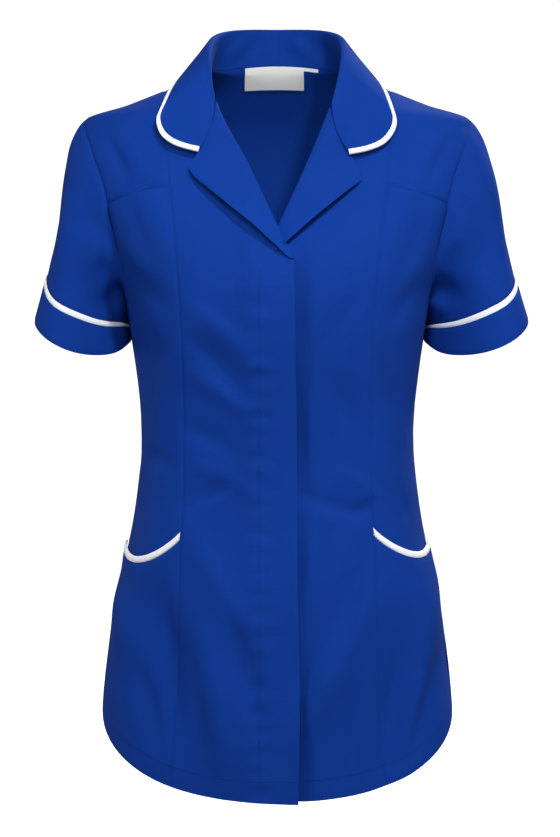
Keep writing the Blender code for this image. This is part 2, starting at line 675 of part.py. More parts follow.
def collar_lines(side):
    """The neck seam, the roll line and the collar's edge, from the middle of the back to the gorge,
    all on the left side."""
    angle = np.linspace(0.0, 0.5 * np.pi, COLLAR_BACK_CELLS + 1)
    seam = body(angle, neck_height(angle), 0.0, True)
    flat = np.sqrt(np.abs(np.cos(angle)))
    height = COLLAR_SIDE_HEIGHT + (COLLAR_BACK_HEIGHT - COLLAR_SIDE_HEIGHT) * flat
    roll = seam + np.stack([0.0 * angle, ROLL_BACKWARD * np.cos(angle), height], axis=-1)
    edge_z = COLLAR_BACK_EDGE_Z + (COLLAR_EDGE[0, 1] - COLLAR_BACK_EDGE_Z) * np.sin(angle) ** 2
    edge = body(angle, edge_z, COLLAR_RAISE, True)
    run = np.linspace(0.0, 1.0, COLLAR_FRONT_CELLS + 1)[1:]
    z = NECK_POINT_Z + (GORGE_Z[side] - NECK_POINT_Z) * run
    neck_x = curve_through(NECKLINE, 1 if side == "right" else 2, z)
    front_seam = body_at(neck_x, z, COLLAR_SEAT * smoothstep(0.0, COLLAR_SEAT_RUN, run))
    fall_away = (1.0 - run) ** COLLAR_HEIGHT_POWER
    height = COLLAR_GORGE_HEIGHT + (COLLAR_SIDE_HEIGHT - COLLAR_GORGE_HEIGHT) * fall_away
    forward = ROLL_FORWARD + ROLL_BELLY * np.sin(np.pi * run)
    forward = forward * smoothstep(0.0, ROLL_FORWARD_RUN, run)
    front_roll = front_seam + np.stack([0.0 * run, -forward, height], axis=-1)
    columns = COLLAR_EDGE[1:, :2] if side == "right" else COLLAR_EDGE[1:, 2:]
    front_edge = body_at(columns[:, 0], columns[:, 1], COLLAR_RAISE)
    return (np.concatenate([seam, front_seam]), np.concatenate([roll, front_roll]),
            np.concatenate([edge, front_edge]))


def clear_of_body(point, behind):
    """A point of the fall moved forward, or back where it is behind, until it clears the body."""
    angle = angle_at(point[..., 0], point[..., 2])
    over = np.abs(point[..., 0]) < COLLAR_OVER_BODY * half_width(point[..., 2])
    ahead = body(angle, point[..., 2], COLLAR_RAISE)[..., 1]
    after = body(angle, point[..., 2], COLLAR_RAISE, True)[..., 1]
    y = np.where(behind, np.maximum(point[..., 1], after), np.minimum(point[..., 1], ahead))
    point = point.copy()
    point[..., 1] = np.where(over, y, point[..., 1])
    return point


def collar_half(side):
    """Half of the collar, columns round the neck from the middle of the back and rows from the
    neck seam up to the roll and down the fall. Then its piping, three rows at the fall's edge."""
    seam, roll, edge = collar_lines(side)
    rise = roll - seam
    rise = rise / np.linalg.norm(rise, axis=1)[:, None]
    aside = edge - roll
    aside = aside - rise * np.sum(aside * rise, axis=1)[:, None]
    aside = aside / np.linalg.norm(aside, axis=1)[:, None]
    over = roll + aside * 2.0 * ROLL_RADIUS
    inward = roll - edge
    inward = inward / np.linalg.norm(inward, axis=1)[:, None]
    cut = edge + inward * PIPING_WIDTH
    stand = [seam + rise * 2.0 * SEAM_GAP, 0.5 * (seam + roll), roll,
             roll + rise * ROLL_ROUNDNESS * ROLL_RADIUS + aside * ROLL_RADIUS, over]
    steps = np.linspace(0.0, 1.0, 5)[1:, None, None]
    fall = over + (cut - over) * steps
    to_gorge = len(seam) - 1 - np.arange(len(seam))
    share = np.clip(1.0 - to_gorge / GORGE_BULGE_CELLS, 0.0, 1.0)
    fall[..., 0] -= GORGE_BULGE * np.sin(np.pi * steps[..., 0]) * share
    behind = np.arange(len(seam)) <= COLLAR_BACK_CELLS
    fall = clear_of_body(fall, behind)
    start = fall[-1] - inward * 2.0 * SEAM_GAP
    piping = start + (edge - start) * np.linspace(0.0, 1.0, 3)[:, None, None]
    return np.concatenate([np.stack(stand), fall]), piping


def whole_round(halves):
    """Right and left halves joined at the middle of the back, columns running to the right seen
    from outside, which is from the left front round behind to the right front."""
    left = halves[1][:, ::-1]
    right = halves[0] * np.array([-1.0, 1.0, 1.0])
    return np.concatenate([left, right[:, 1:]], axis=1)


def trim_ends(points, length):
    """The first and last columns of a grid moved in along its rows."""
    inward = points[:, [1, -2]] - points[:, [0, -1]]
    points[:, [0, -1]] += inward / np.linalg.norm(inward, axis=-1, keepdims=True) * length
    return points


def collar(made_of, piping_made_of):
    """The stand and fall in one folded sheet, and the piping round the edge of the fall."""
    halves = [collar_half(side) for side in ("right", "left")]
    points = trim_ends(whole_round([half[0] for half in halves]), 2.0 * SEAM_GAP)
    sheet("collar", points, FOLDED_CLOTH, made_of)
    points = trim_ends(whole_round([half[1] for half in halves]), 4.0 * SEAM_GAP)
    crown = PIPING_CROWN * np.sin(np.linspace(0.0, np.pi, 3))[:, None]
    sheet("collar_piping", points, PIPING_WALL, piping_made_of, crown)


def lapel(side, made_of):
    """The turned front, from the roll line to its outer edge, on the front panel beneath it."""
    column = 1 if side == "right" else 2
    notch, corner, tip = LAPEL_POINTS[side]
    down = np.linspace(0.0, 1.0, LAPEL_ROWS + 1)
    roll_z = GORGE_Z[side] + (LAPEL_END_Z - GORGE_Z[side]) * down
    roll_x = curve_through(NECKLINE, column, roll_z)
    edge = corner + (tip - corner) * down[:, None]
    across = np.linspace(0.0, 1.0, LAPEL_COLUMNS + 1)
    x = between(roll_x, edge[:, 0], across)
    z = between(roll_z, edge[:, 1], across)
    gorge = np.array([roll_x[0], roll_z[0]])
    long, short = np.linalg.norm(notch - gorge), np.linalg.norm(corner - notch)
    reach = long / (long + short)
    top_x = np.interp(across, [0.0, reach, 1.0], [gorge[0], notch[0], corner[0]])
    top_z = np.interp(across, [0.0, reach, 1.0], [gorge[1], notch[1], corner[1]])
    top_x = top_x - GORGE_BULGE * np.sin(np.pi * np.minimum(across / reach, 1.0))
    fade = (1.0 - down[:, None]) ** 2
    x = x + (top_x - x[0]) * fade
    z = z + (top_z - z[0]) * fade
    belly = LAPEL_BELLY * np.sqrt(np.sin(np.pi * across)) * (1.0 - down[:, None])
    raised = LAPEL_SEAT + FOLDED_CLOTH + belly
    front_panel("lapel", side, angle_at(x, z), z, made_of, raised, FOLDED_CLOTH)


def front_zip(made_of):
    """The concealed zip, flat between the two fronts."""
    z = np.concatenate([princess_levels()[SHOULDER_ROWS + BREAK_ROWS + 1:],
                        spaced(HIP_MOUTH_Z, HEM_LOW_Z, SKIRT_ROWS)[1:-1]])
    x = np.linspace(-ZIP_HALF_WIDTH, ZIP_HALF_WIDTH, 3)
    z = z[:, None] + 0.0 * x
    body_panel("front_zip", angle_at(x, z), z, made_of, ZIP_RAISE, thick=ZIP_WALL)


def neck_labels(made_of):
    """A blank label and a small blank tab beside it, inside the back below the neck seam."""
    behind = -(CLOTH + 2.0 * SEAM_GAP)
    for name, from_x, to_x, bottom, cells in (
        ("neck_label", LABEL_FROM_X, LABEL_TO_X, LABEL_BOTTOM_Z, 5),
        ("size_tab", LABEL_TO_X + SEAM_GAP, TAB_TO_X, TAB_BOTTOM_Z, 2),
    ):
        x = np.linspace(from_x, to_x, cells + 1)
        z = np.linspace(LABEL_TOP_Z, bottom, 4)[:, None] + 0.0 * x
        z = z - BACK_NECK_RISE * (1.0 - np.cos(angle_at(x, z)) ** 2)
        body_panel(name, angle_at(x, z), z, made_of, behind, back=True, thick=LABEL_WALL)


def main():
    clear_scene()
    blue = material("royal_blue_cloth", ROYAL_BLUE, CLOTH_ROUGHNESS)
    white = material("white_piping", PIPING_WHITE, TRIM_ROUGHNESS)
    for side in ("right", "left"):
        centre_front(side, blue)
        upper_side_front(side, blue)
        side_front(side, blue)
        pocket_front(side, blue, white)
        sleeve_and_cuff(side, blue, white)
        lapel(side, blue)
    back(blue)
    collar(blue, white)
    front_zip(material("zip_tape", ZIP_BLUE, TRIM_ROUGHNESS))
    neck_labels(material("blank_label", LABEL_WHITE, TRIM_ROUGHNESS))


main()
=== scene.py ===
"""Looks of a work tunic with a revers collar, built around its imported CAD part.

Metres, +Z up, the front faces -Y and the wearer's left is at +X. "right" and "left" are the
wearer's. Each piece of cloth is a thin shell, made from a grid of points that numpy works out
whole. The body of the tunic is one smooth surface: at height z a section runs round an angle, 0 at
the middle of the front or back and 90 degrees at the side,
    x = a sin(angle),   y = -f cos(angle) (1 + SQUARENESS sin(angle)^2)
where a is the half width and f the depth. Panels lie on it between their seam lines, dip a little
at each seam, and carry soft creases.
"""

import json

import bpy
import numpy as np
from bpy.props import FloatProperty, FloatVectorProperty, IntProperty, PointerProperty
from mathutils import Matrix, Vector

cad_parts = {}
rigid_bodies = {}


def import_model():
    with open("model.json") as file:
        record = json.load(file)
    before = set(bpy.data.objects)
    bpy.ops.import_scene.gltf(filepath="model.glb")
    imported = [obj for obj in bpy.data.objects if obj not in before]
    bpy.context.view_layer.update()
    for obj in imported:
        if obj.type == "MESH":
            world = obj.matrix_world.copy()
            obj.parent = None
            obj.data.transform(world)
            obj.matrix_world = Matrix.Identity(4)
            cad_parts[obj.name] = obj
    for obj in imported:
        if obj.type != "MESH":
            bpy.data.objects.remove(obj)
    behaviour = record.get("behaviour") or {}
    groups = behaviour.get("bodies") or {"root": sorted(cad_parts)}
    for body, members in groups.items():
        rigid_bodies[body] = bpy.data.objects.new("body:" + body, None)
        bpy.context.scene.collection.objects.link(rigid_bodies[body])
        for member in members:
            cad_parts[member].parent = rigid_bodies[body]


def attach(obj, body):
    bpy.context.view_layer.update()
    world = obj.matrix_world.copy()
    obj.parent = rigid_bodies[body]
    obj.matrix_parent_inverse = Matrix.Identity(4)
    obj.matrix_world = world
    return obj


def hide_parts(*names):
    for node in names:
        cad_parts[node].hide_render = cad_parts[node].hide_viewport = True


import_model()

bl_info = {
    "name": "Work tunic",
    "version": (1, 0, 0),
    "blender": (4, 5, 0),
    "location": "3D View > Sidebar > Tunic",
    "description": "Builds a work tunic in cloth with piping, around its packed CAD part",
    "category": "Add Mesh",
}

SIDES = ("right", "left")
SIDE_COLUMN = {"right": 1, "left": 2}
SIDE_SIGN = {"right": -1.0, "left": 1.0}
MIRROR = np.array([-1.0, 1.0, 1.0])

# Walls, seams and piping
FOLDED_CLOTH = 0.0012
CUFF_WALL = 0.0022
SEAM_GAP = 0.0001
SEAM_DRAWN = 0.15
ARMHOLE_TUCK = 0.0014
PIPING_WALL = 0.002
CUFF_PIPING_WALL = 0.001
PIPING_TUCK = 0.0013
PIPING_ROUND = 0.6
POCKET_PIPING_CROWN = 0.001
POCKET_PIPING_SUNK = 0.0004
CUFF_PIPING_CROWN = 0.0006
COLLAR_PIPING_CROWN = 0.0008
COLLAR_PIPING_SUNK = 0.0002
SLEEVE_UNDERLAP = 0.002

# Heights on the body
NECK_POINT_Z = -0.004
PRINCESS_TOP_Z = -0.0245
SHOULDER_TIP_Z = -0.0515
BREAST_MOUTH_Z = -0.128
BREAK_Z = -0.201
UNDERARM_Z = -0.228
HIP_MOUTH_Z = -0.463
HIP_MOUTH_SIDE_Z = -0.474
HEM_LOW_Z = -0.725
HEM_RISE = 0.086
HEM_POWER = 1.12
BACK_HEM_LIFT = 0.003
BACK_NECK_RISE = 0.009

# Sections of the body: height, half width, depth in front, depth behind
SQUARENESS = 0.25
TORSO = np.array([
    (0.04, 0.0655, 0.02, 0.056), (-0.004, 0.066, 0.022, 0.058), (-0.0245, 0.112, 0.04, 0.072),
    (-0.04, 0.151, 0.053, 0.082), (-0.0515, 0.1885, 0.0615, 0.0885), (-0.064, 0.196, 0.069, 0.094),
    (-0.085, 0.2, 0.083, 0.101), (-0.115, 0.196, 0.099, 0.107), (-0.145, 0.187, 0.113, 0.11),
    (-0.175, 0.1745, 0.124, 0.111), (-0.205, 0.162, 0.131, 0.109), (-0.228, 0.1535, 0.133, 0.106),
    (-0.263, 0.1475, 0.13, 0.1), (-0.3, 0.142, 0.122, 0.093), (-0.34, 0.1375, 0.112, 0.087),
    (-0.38, 0.136, 0.106, 0.085), (-0.42, 0.1395, 0.105, 0.088), (-0.46, 0.1455, 0.108, 0.096),
    (-0.5, 0.1545, 0.113, 0.105), (-0.54, 0.1625, 0.117, 0.111), (-0.58, 0.169, 0.119, 0.114),
    (-0.64, 0.175, 0.121, 0.115), (-0.7, 0.176, 0.121, 0.114), (-0.76, 0.176, 0.121, 0.113),
])
Z_COLUMN, WIDTH_COLUMN, FRONT_COLUMN, BACK_COLUMN = range(4)
STRAIGHT_SHOULDER_Z = -0.04

# Princess seam: height, distance from the centre line
PRINCESS = np.array([
    (-0.0245, 0.112), (-0.09, 0.109), (-0.185, 0.1005), (-0.26, 0.095), (-0.39, 0.0925),
    (-0.5, 0.096), (-0.6, 0.101), (-0.73, 0.1058),
])

# Armhole: height, angle round the body in front and behind, in degrees
ARMHOLE = np.array([
    (-0.0515, 90.0, 90.0), (-0.0625, 78.7, 81.0), (-0.083, 68.6, 74.0), (-0.11, 63.5, 70.0),
    (-0.13, 62.6, 69.0), (-0.147, 63.6, 69.0), (-0.172, 66.4, 70.5), (-0.196, 70.2, 73.5),
    (-0.215, 75.8, 78.0), (-0.228, 90.0, 90.0),
])

# Neck seam and roll line of the front: height, distance from the centre line at right and left
NECKLINE = np.array([
    (-0.004, 0.066, 0.066), (-0.023, 0.065, 0.06), (-0.04, 0.061, 0.0545), (-0.1043, 0.03, 0.0295),
    (-0.1696, 0.0, 0.0), (-0.201, -0.016, -0.0145),
])

# Front edges below the break: height, how far each front laps past the centre line
LAP = np.array([
    (-0.201, 0.016, 0.0145), (-0.35, 0.0185, 0.019), (-0.52, 0.0195, 0.019), (-0.62, 0.0215, 0.019),
    (-0.73, 0.02, 0.019),
])
LAP_RAISE = 0.0042
LAP_RAISE_FROM_X = -0.045
LAP_RAISE_TO_X = -0.022

# Pocket mouths
BREAST_MOUTH_DROP = 0.0165
BREAST_MOUTH_LIFT = 0.0024
BREAST_MOUTH_LIFT_SHARE = 0.2
BREAST_MOUTH_CURVE = 1.5
BREAST_MOUTH_GAPE = 1.8
HIP_MOUTH_DIP = 0.0205
HIP_MOUTH_SKEW = 0.8
HIP_MOUTH_LIFT = 0.0032
HIP_MOUTH_LIFT_SHARE = 0.35
HIP_MOUTH_LEFT_RISE = 0.0045
PIPING_TAPER = 0.2
PIPING_TAPER_END = 0.45
MOUTH_TUCK = 0.0025
BREAST_TUCK_SPAN = (0.15, 0.4)
HIP_TUCK_SPAN = (0.2, 0.4)
MOUTH_FADE = 0.09
MOUTH_SIDE_FADE = 0.02

# Sleeve end and cuff hem: reach at right and left and height there, the inner side's reach and
# height, half the depth, the dip in front, how far forward the outer side is, how far back the inner
SLEEVE_LOOPS = np.array([
    (0.23, 0.2365, -0.214, 0.1475, -0.259, 0.052, 0.0145, 0.015, 0.03),
    (0.2393, 0.2473, -0.256, 0.1465, -0.2715, 0.054, 0.025, 0.018, 0.032),
])
# Sag of the sleeve end towards the outside, and how much sharper it turns there
SLEEVE_END_SAG = {"right": (0.0068, 0.0016), "left": (0.005, 0.0012)}
# The same sag's share all round, and what more of it there is in front
SLEEVE_SAG_SHARES = (0.65, 0.35)
# Cuff hem's slant at its front inner corner: height, place and half width, in radians of the turn
CUFF_CORNER = (0.0036, 2.66, 0.34)
CUFF_PIPING_SHARE = 0.8
# Way in which a sleeve leaves the armhole: plain part, part on top, part in front and behind
SLEEVE_LEAVES_OUTWARD = (0.45, 0.35, -0.005)
SLEEVE_LEAVES_FORWARD = 0.15
SLEEVE_LEAVES_UP = (-0.44, -0.16, -0.25)
SLEEVE_START_PULL = 0.6
SLEEVE_END_PULL = 1.15
# How far the sleeve's inner side leans on the body
SLEEVE_LEAN = 0.006
# Shares of the way down within which the lean and the creases are whole, and the creases' loss
SLEEVE_LEAN_SPAN = (0.08, 0.6)
SLEEVE_CREASE_SPAN = (0.12, 0.8)
SLEEVE_CREASE_LOSS = 0.75
PIPING_PROUD = 0.001
CUFF_PROUD = 0.0018
# Share of the sleeve's last creases that runs on into the cuff, and the cuff hem's soft waves:
# height, waves round it, phase, power of the way down
CUFF_RIPPLE = 0.25
CUFF_WAVES = ((0.001, 3.0, 0.8, 1), (0.0007, 5.0, 2.0, 2))

# Collar edge in front, from the shoulder seam to the gorge: distance from the centre line and
# height, at right and at left
COLLAR_EDGE = np.array([
    (0.102, -0.02, 0.102, -0.02), (0.1052, -0.025, 0.1052, -0.025), (0.109, -0.033, 0.109, -0.0335),
    (0.1138, -0.0455, 0.1134, -0.047), (0.1186, -0.06, 0.1168, -0.061),
    (0.1145, -0.074, 0.114, -0.0725), (0.104, -0.0835, 0.1045, -0.084),
    (0.0905, -0.089, 0.0885, -0.0912), (0.0769, -0.0924, 0.0701, -0.0952),
])
COLLAR_BACK_EDGE_Z = -0.026
COLLAR_BACK_HEIGHT = 0.0365
COLLAR_SIDE_HEIGHT = 0.0315
COLLAR_GORGE_HEIGHT = 0.002
COLLAR_FALL_POWER = 2.2
COLLAR_RAISE = 0.003
COLLAR_SEAT = 0.0022
COLLAR_STAND_OFF = 0.0085
FALL_BELLY = 0.0016
BODY_SHARE = 0.97
ROLL_FORWARD = 0.0035
ROLL_BACK = 0.005
ROLL_BELLY = 0.003
ROLL_RADIUS = 0.0016
ROLL_FLATNESS = 0.6
ROLL_SIDE_GAIN = 1.3
ROLL_SOFTENING = 220
ROLL_CROWN = 0.0045
GORGE_BULGE = 0.003
GORGE_LAP = 0.0012
GORGE_Z = {"right": -0.0385, "left": -0.044}

# Lapel: the notch end of the gorge, the two points of its blunt corner, and the tip where it
# meets the roll line
LAPEL_POINTS = {
    "right": np.array([(0.0744, -0.0868), (0.0856, -0.1107),
                       (0.08, -0.1203), (-0.0109, -0.1983)]),
    "left": np.array([(0.0666, -0.0883), (0.08, -0.114),
                      (0.0806, -0.1228), (-0.009, -0.1983)]),
}
LAPEL_END_Z = -0.199
LAPEL_BELLY = 0.0015
LAPEL_SEAT = 0.0009
LAPEL_TURN = 0.003
LAPEL_OVERHANG = 0.0016
LAPEL_STAND_OFF = 0.0105
LAPEL_STAND_START = 0.08
LAPEL_STAND_POWER = 0.7

# Zip between the two fronts, and the labels at the back of the neck: name, from x, to x, bottom
ZIP_HALF_WIDTH = 0.011
ZIP_WALL = 0.0006
ZIP_RAISE = 0.0016
ZIP_ABOVE_HEM = 0.006
ZIP_TEETH_TOP_Z = -0.216
ZIP_TEETH_BOTTOM_Z = -0.712
ZIP_TEETH_PITCH = 0.003
ZIP_TEETH_ASIDE = 0.0009
ZIP_TEETH_PROUD = 0.0002
ZIP_TOOTH_HALF = (0.0016, 0.00035, 0.001)
LABEL_WALL = 0.001
LABEL_TOP_Z = 0.0045
LABEL_CELLS = (40, 20)
LABELS = (("blank_neck_label", -0.0335, 0.0269, -0.0172), ("blank_size_tab", 0.027, 0.042, 0.0015))

# Creases of the front: from (x, z) to (x, z), bend, half width, depth. Ridges are above zero.
FRONT_CREASES = np.array([
    (-0.104, -0.44, -0.018, -0.59, 0.004, 0.015, 0.003),
    (-0.088, -0.5, -0.044, -0.745, 0.006, 0.018, 0.0034),
    (-0.13, -0.47, -0.098, -0.7, 0.004, 0.02, -0.0034),
    (-0.052, -0.515, -0.018, -0.68, 0.004, 0.01, -0.0018),
    (0.044, -0.42, 0.02, -0.6, -0.003, 0.016, 0.0024),
    (0.108, -0.48, 0.018, -0.69, -0.006, 0.016, 0.0034),
    (0.094, -0.455, 0.044, -0.615, 0.003, 0.01, -0.0024),
    (0.104, -0.43, 0.062, -0.446, 0.004, 0.008, -0.0022),
    (0.134, -0.52, 0.096, -0.735, 0.003, 0.017, -0.0034),
    (0.168, -0.56, 0.126, -0.7, 0.004, 0.011, -0.002),
    (0.15, -0.48, 0.146, -0.6, 0.0, 0.013, 0.0016),
    (-0.158, -0.5, -0.148, -0.62, 0.0, 0.012, 0.0014),
    (-0.15, -0.57, -0.118, -0.69, 0.004, 0.012, -0.0016),
    (0.07, -0.6, 0.05, -0.74, 0.004, 0.01, -0.0012),
    (-0.15, -0.11, -0.118, -0.205, -0.005, 0.009, -0.0013),
    (-0.16, -0.17, -0.112, -0.24, 0.004, 0.008, 0.0011),
    (0.148, -0.12, 0.116, -0.215, 0.005, 0.009, -0.0014),
    (0.158, -0.175, 0.108, -0.25, -0.003, 0.008, 0.001),
    (-0.1, -0.234, -0.012, -0.306, 0.004, 0.01, 0.002),
    (-0.094, -0.268, -0.026, -0.341, 0.003, 0.009, -0.0021),
    (-0.094, -0.302, -0.012, -0.361, 0.003, 0.009, 0.002),
    (-0.1, -0.358, -0.032, -0.396, 0.003, 0.009, -0.0018),
    (-0.088, -0.394, -0.012, -0.43, 0.002, 0.008, 0.0015),
    (-0.098, -0.444, -0.03, -0.412, 0.002, 0.008, -0.0016),
    (-0.122, -0.255, -0.127, -0.36, 0.002, 0.009, -0.0019),
    (-0.112, -0.288, -0.124, -0.4, 0.002, 0.008, 0.0015),
    (-0.138, -0.385, -0.096, -0.405, 0.003, 0.008, -0.0014),
    (0.014, -0.424, 0.092, -0.446, -0.003, 0.007, -0.0023),
    (0.05, -0.4, 0.1, -0.432, 0.003, 0.008, 0.0017),
    (0.036, -0.29, 0.088, -0.392, 0.003, 0.012, -0.0015),
    (0.03, -0.31, 0.036, -0.41, 0.002, 0.007, 0.0011),
    (0.1, -0.28, 0.13, -0.375, -0.003, 0.011, -0.002),
    (0.102, -0.405, 0.13, -0.46, 0.002, 0.009, -0.0014),
    (0.092, -0.215, 0.04, -0.3, -0.004, 0.012, -0.0013),
    (-0.176, -0.066, -0.146, -0.124, 0.003, 0.007, -0.002),
    (0.178, -0.066, 0.148, -0.128, -0.003, 0.007, -0.0018),
    (-0.158, -0.068, -0.128, -0.118, 0.002, 0.006, 0.001),
    (-0.152, -0.133, -0.116, -0.12, 0.002, 0.004, -0.0018),
    (0.15, -0.134, 0.118, -0.121, -0.002, 0.004, -0.0012),
    (-0.145, -0.205, -0.1, -0.262, 0.004, 0.01, -0.0012),
    (0.146, -0.215, 0.104, -0.275, -0.004, 0.01, -0.0013),
])

# Creases of the back, in the same way; the last two are its darts
BACK_CREASES = np.array([
    (-0.15, -0.1, -0.12, -0.215, 0.004, 0.012, -0.0016),
    (0.146, -0.11, 0.112, -0.225, -0.004, 0.011, -0.0015),
    (-0.13, -0.31, -0.06, -0.352, 0.005, 0.009, -0.0014),
    (-0.126, -0.35, -0.048, -0.378, 0.004, 0.008, 0.0011),
    (0.13, -0.318, 0.07, -0.36, -0.005, 0.009, -0.0015),
    (0.124, -0.365, 0.052, -0.388, 0.003, 0.008, 0.0012),
    (0.03, -0.3, -0.035, -0.325, 0.004, 0.009, -0.0009),
    (-0.09, -0.48, -0.052, -0.69, 0.006, 0.02, 0.0028),
    (-0.044, -0.52, -0.02, -0.715, 0.004, 0.017, -0.0026),
    (0.018, -0.5, 0.03, -0.71, -0.004, 0.018, 0.0024),
    (0.088, -0.47, 0.064, -0.67, -0.005, 0.019, -0.0026),
    (0.128, -0.52, 0.112, -0.65, 0.003, 0.016, 0.002),
    (-0.134, -0.53, -0.12, -0.65, 0.003, 0.016, -0.002),
    (-0.07, -0.08, -0.03, -0.26, 0.006, 0.02, -0.0012),
    (0.06, -0.09, 0.036, -0.25, -0.006, 0.02, -0.0012),
    (0.02, -0.34, 0.075, -0.41, 0.004, 0.01, 0.0011),
    (-0.076, -0.395, -0.01, -0.435, 0.003, 0.01, -0.0012),
    (0.08, -0.245, 0.08, -0.48, -0.006, 0.005, -0.0013),
    (-0.08, -0.245, -0.08, -0.48, 0.006, 0.005, -0.0013),
])

# Creases of a sleeve: from (turn, share of the way down) to the same, half width as a share,
# depth. The turn is 0 on top, 90 degrees in front and 270 degrees behind.
SLEEVE_CREASES = {
    "right": np.array([
        (150.0, 0.3, 100.0, 0.98, 0.075, -0.0034), (128.0, 0.2, 70.0, 0.8, 0.07, 0.0022),
        (172.0, 0.45, 128.0, 1.0, 0.055, 0.002), (100.0, 0.1, 40.0, 0.6, 0.07, -0.0016),
        (60.0, 0.3, 20.0, 0.95, 0.08, 0.0014), (205.0, 0.25, 245.0, 0.95, 0.07, -0.003),
        (230.0, 0.15, 285.0, 0.8, 0.07, 0.0022), (265.0, 0.2, 320.0, 0.9, 0.08, -0.0018),
        (12.0, 0.25, -20.0, 0.98, 0.09, -0.0014),
    ]),
    "left": np.array([
        (146.0, 0.25, 92.0, 0.92, 0.07, -0.0028), (120.0, 0.15, 62.0, 0.72, 0.075, 0.002),
        (166.0, 0.5, 120.0, 1.0, 0.055, 0.0022), (84.0, 0.3, 34.0, 0.98, 0.075, -0.0016),
        (42.0, 0.15, 10.0, 0.8, 0.085, 0.0013), (200.0, 0.3, 238.0, 1.0, 0.07, -0.0028),
        (236.0, 0.1, 290.0, 0.75, 0.07, 0.0024), (270.0, 0.3, 330.0, 0.98, 0.08, -0.0016),
        (-10.0, 0.2, -34.0, 0.9, 0.09, -0.0012),
    ]),
}

# Creases of the collar's stand: the same, in quarter turns round the neck from the middle of the
# back and in 0.3 of its height
COLLAR_CREASES = np.array([
    (-0.62, 0.05, -0.3, 0.28, 0.01, 0.07, -0.0016), (-0.3, 0.02, -0.12, 0.27, 0.01, 0.08, 0.0012),
    (0.1, 0.28, 0.42, 0.06, -0.01, 0.08, -0.0018), (0.42, 0.02, 0.62, 0.26, 0.01, 0.07, 0.0012),
])

# The left front beside the lap: x of the dip beneath the lap's edge, half width, depth, and its
# share at each depth below the neck. Then how much longer the lapping front is.
LAP_DIP_X = 0.017
LAP_DIP_HALF = 0.011
LAP_DIP_DEPTH = 0.0075
LAP_DIP_ALONG = np.array([
    (0.195, 0.0), (0.225, 0.8), (0.265, 1.0), (0.3, 0.6), (0.33, 0.7), (0.372, 1.0), (0.415, 0.7),
    (0.44, 0.25), (0.465, 0.6), (0.505, 1.0), (0.545, 0.5), (0.575, 0.3), (0.62, 0.7),
    (0.665, 1.0), (0.72, 0.8), (0.79, 0.5),
])
LAP_HEM_DROP = 0.0026

# Back waist darts: x of the seam, heights of its ends
DART_X = 0.08
DART_TOP_Z = -0.255
DART_BOTTOM_Z = -0.47

# Grids: cells across and down each panel, before they are made finer
CENTRE_COLUMNS, SIDE_COLUMNS, BACK_COLUMNS = 6, 6, 16
SHOULDER_ROWS, BREAK_ROWS, WAIST_ROWS, SKIRT_ROWS = 6, 3, 10, 9
UNDERARM_ROWS, BACK_ARMHOLE_ROWS = 5, 9
SLEEVE_ROWS, CUFF_ROWS = 7, 3
COLLAR_BACK_CELLS, COLLAR_FRONT_CELLS = 6, 8
LAPEL_COLUMNS, LAPEL_ROWS = 4, 11
# Cells that stay as they are: the collar's stand, roll and fall, pipings across, the lapel's turn
STAND_CELLS, ROLL_CELLS, FALL_CELLS, LAPEL_TURN_COLUMNS, ZIP_CELLS = 13, 8, 26, 12, 14
POCKET_PIPING_CELLS, CUFF_PIPING_CELLS, COLLAR_PIPING_CELLS = 10, 8, 7
ROW_CROWDING = 1.7
SEAM_CROWDING = 0.11

# How deep the creases are against their tables, how they swell and lean over, and the placket's
# puckers
CREASE_STRENGTH = 1.85
SKIRT_CREASE_GAIN = 0.9
SKIRT_CREASES_DOWN = (0.47, 0.56)
BACK_CREASE_GAIN = 1.5
SLEEVE_CREASE_GAIN = 1.15
SLEEVE_CREASE_BEND = 0.02
SLEEVE_CREASE_WIDTH = 0.6
CREASE_SWELL = 1.3
CREASE_SKEW = 0.3
PUCKER_DEPTH = 0.0008
PUCKER_HALF_WIDTH = 0.0105

# Dip of the cloth at a seam, and the stitching
SEAM_DIP = 0.0009
SEAM_DIP_WIDTH = 0.002
STITCH_LENGTH = 0.0023
STITCH_SHARE = 0.72
STITCH_WIDTH = 0.00042
STITCH_HEIGHT = 0.0003
HEM_DEPTH = 0.02
PLACKET_WIDTH = 0.0175
PLACKET_TOP_Z = BREAK_Z - 0.006
PLACKET_BOTTOM_Z = HEM_LOW_Z + 0.003
HEM_STITCH_ENDS = 0.02
LAP_STITCH_EDGE = 0.001
LAP_STITCH_GAP = 0.03
MOUTH_STITCH_DEPTH = 0.0065
MOUTH_STITCH_LIFT = 1.4
MOUTH_STITCH_SPAN = (0.06, 0.94)
DART_STITCH_PITCH = 0.0026
DART_WAIST = 0.006
TACK_PITCH = 0.0011
TACK_Z = -0.1835
TACK_FROM_X = 0.15
TACK_TO_X = 0.156

# Finishes: name of the colour, roughness, width of a thread, relief, sheen, whether a twill
FINISHES = {
    "royal_blue_twill": ("cloth", 0.88, 0.0006, 0.3, 0.004, True),
    "blue_thread": ("thread", 0.75, 0.0004, 0.3, 0.02, True),
    "white_piping_weave": ("piping", 0.7, 0.0006, 0.35, 0.05, False),
    "zip_tape_weave": ("zip_tape", 0.7, 0.0008, 0.4, 0.05, False),
    "label_weave": ("label", 0.55, 0.0004, 0.2, 0.05, False),
}
SLOT_FINISHES = {"royal_blue_cloth": "royal_blue_twill", "white_piping": "white_piping_weave",
                 "zip_tape": "zip_tape_weave", "blank_label": "label_weave"}
THREAD_WAVE = 0.314
CROSS_THREAD = 1.9
BUMP_HEIGHT = 0.0002
LENGTH = {"subtype": "DISTANCE", "unit": "LENGTH"}
COLOUR = {"subtype": "COLOR", "size": 3, "min": 0.0, "max": 1.0}

